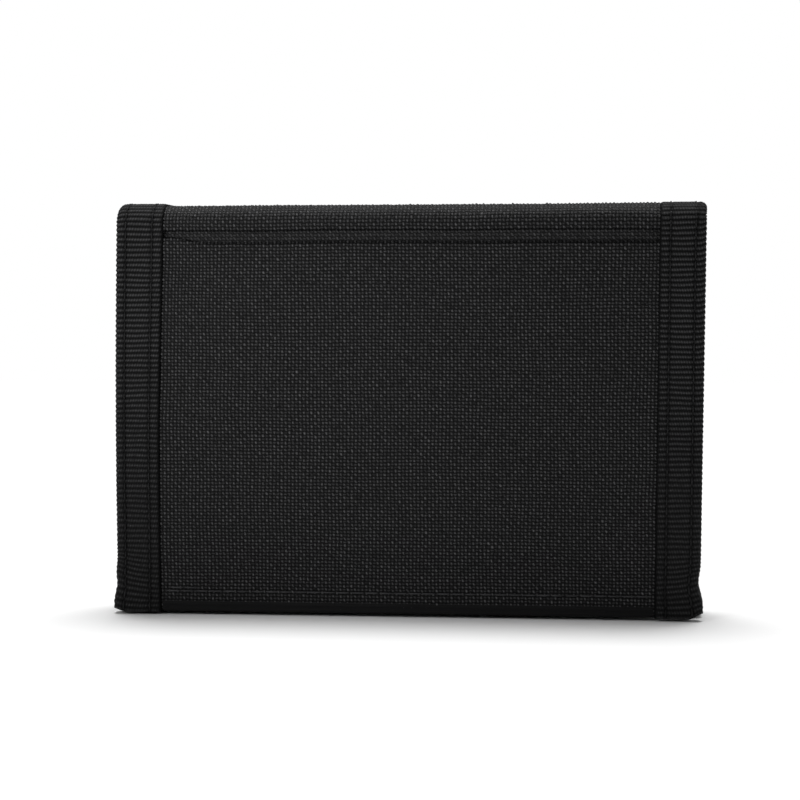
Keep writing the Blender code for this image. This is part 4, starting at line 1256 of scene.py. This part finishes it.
# ---------------------------------------------------------------- stage
def build_world():
    """White to the camera, and a dim fill for everything else."""
    world = bpy.data.worlds.new("studio")
    bpy.context.scene.world = world
    world.use_nodes = True
    nodes = world.node_tree.nodes
    links = world.node_tree.links
    fill = nodes["Background"]
    fill.inputs["Color"].default_value = (1.0, 1.0, 1.0, 1.0)
    fill.inputs["Strength"].default_value = FILL
    white = nodes.new("ShaderNodeBackground")
    white.inputs["Color"].default_value = (1.0, 1.0, 1.0, 1.0)
    white.inputs["Strength"].default_value = 1.0
    ray = nodes.new("ShaderNodeLightPath")
    mix = nodes.new("ShaderNodeMixShader")
    links.new(ray.outputs["Is Camera Ray"], mix.inputs[0])
    links.new(fill.outputs[0], mix.inputs[1])
    links.new(white.outputs[0], mix.inputs[2])
    links.new(mix.outputs[0], nodes["World Output"].inputs["Surface"])


def build_stage():
    bpy.ops.mesh.primitive_plane_add(size=FLOOR_SIZE, location=(0.0, 0.0, CAD_BOX[0].z - FLOOR_GAP))
    floor = bpy.context.object
    floor.name = "floor"
    paper = Look("white_paper", 0.9, Specular_IOR_Level=0.1)
    paper.colour(paper.blend(paper.noise(paper.place(), 3.0), (0.86, 0.86, 0.86), (0.88, 0.88, 0.88)))
    floor.data.materials.append(paper.material)
    bpy.context.scene.view_settings.view_transform = "Standard"


def hang(name, light, place, target):
    lamp = bpy.data.objects.new(name, light)
    bpy.context.collection.objects.link(lamp)
    lamp.location = place
    lamp.rotation_euler = (Vector(target) - Vector(place)).to_track_quat("-Z", "Y").to_euler()


def build_lights():
    """A broad light from above and behind, and a soft spot on the upper left of the face."""
    sky = bpy.data.lights.new("overhead", "SUN")
    sky.energy = SUN_ENERGY
    sky.angle = SUN_ANGLE
    hang("overhead", sky, SUN_PLACE, (0.0, 0.0, 0.0))
    key = bpy.data.lights.new("key", "SPOT")
    key.energy = SPOT_ENERGY
    key.shadow_soft_size = SPOT_RADIUS
    key.spot_size = SPOT_ANGLE
    key.spot_blend = 1.0
    hang("key", key, SPOT_PLACE, (SPOT_X, FACE, SPOT_Z))


def build_camera():
    """Almost face on, a little above the middle and to the right of it."""
    middle = Vector((0.0, FACE, TOP / 2))
    back = Vector((
        math.sin(CAMERA_AZIMUTH) * math.cos(CAMERA_ELEVATION),
        -math.cos(CAMERA_AZIMUTH) * math.cos(CAMERA_ELEVATION),
        math.sin(CAMERA_ELEVATION),
    ))
    camera = bpy.data.objects.new("camera", bpy.data.cameras.new("camera"))
    bpy.context.collection.objects.link(camera)
    camera.location = middle + back * CAMERA_DISTANCE
    aim = middle + Vector(AIM_SHIFT)
    camera.rotation_euler = (aim - camera.location).to_track_quat("-Z", "Y").to_euler()
    camera.data.lens = camera.data.sensor_width * CAMERA_DISTANCE / VIEW_WIDTH
    camera.data.clip_start = 0.01
    bpy.context.scene.camera = camera


def main():
    build_camera()
    build_world()
    build_stage()
    build_lights()
    build_shells()
    tape_rows = build_tapes()
    build_linings()
    build_stiffeners()
    build_hems()
    window_rows = build_window()
    build_stitches(tape_rows, window_rows)
    build_zip()
    build_closure()


main()
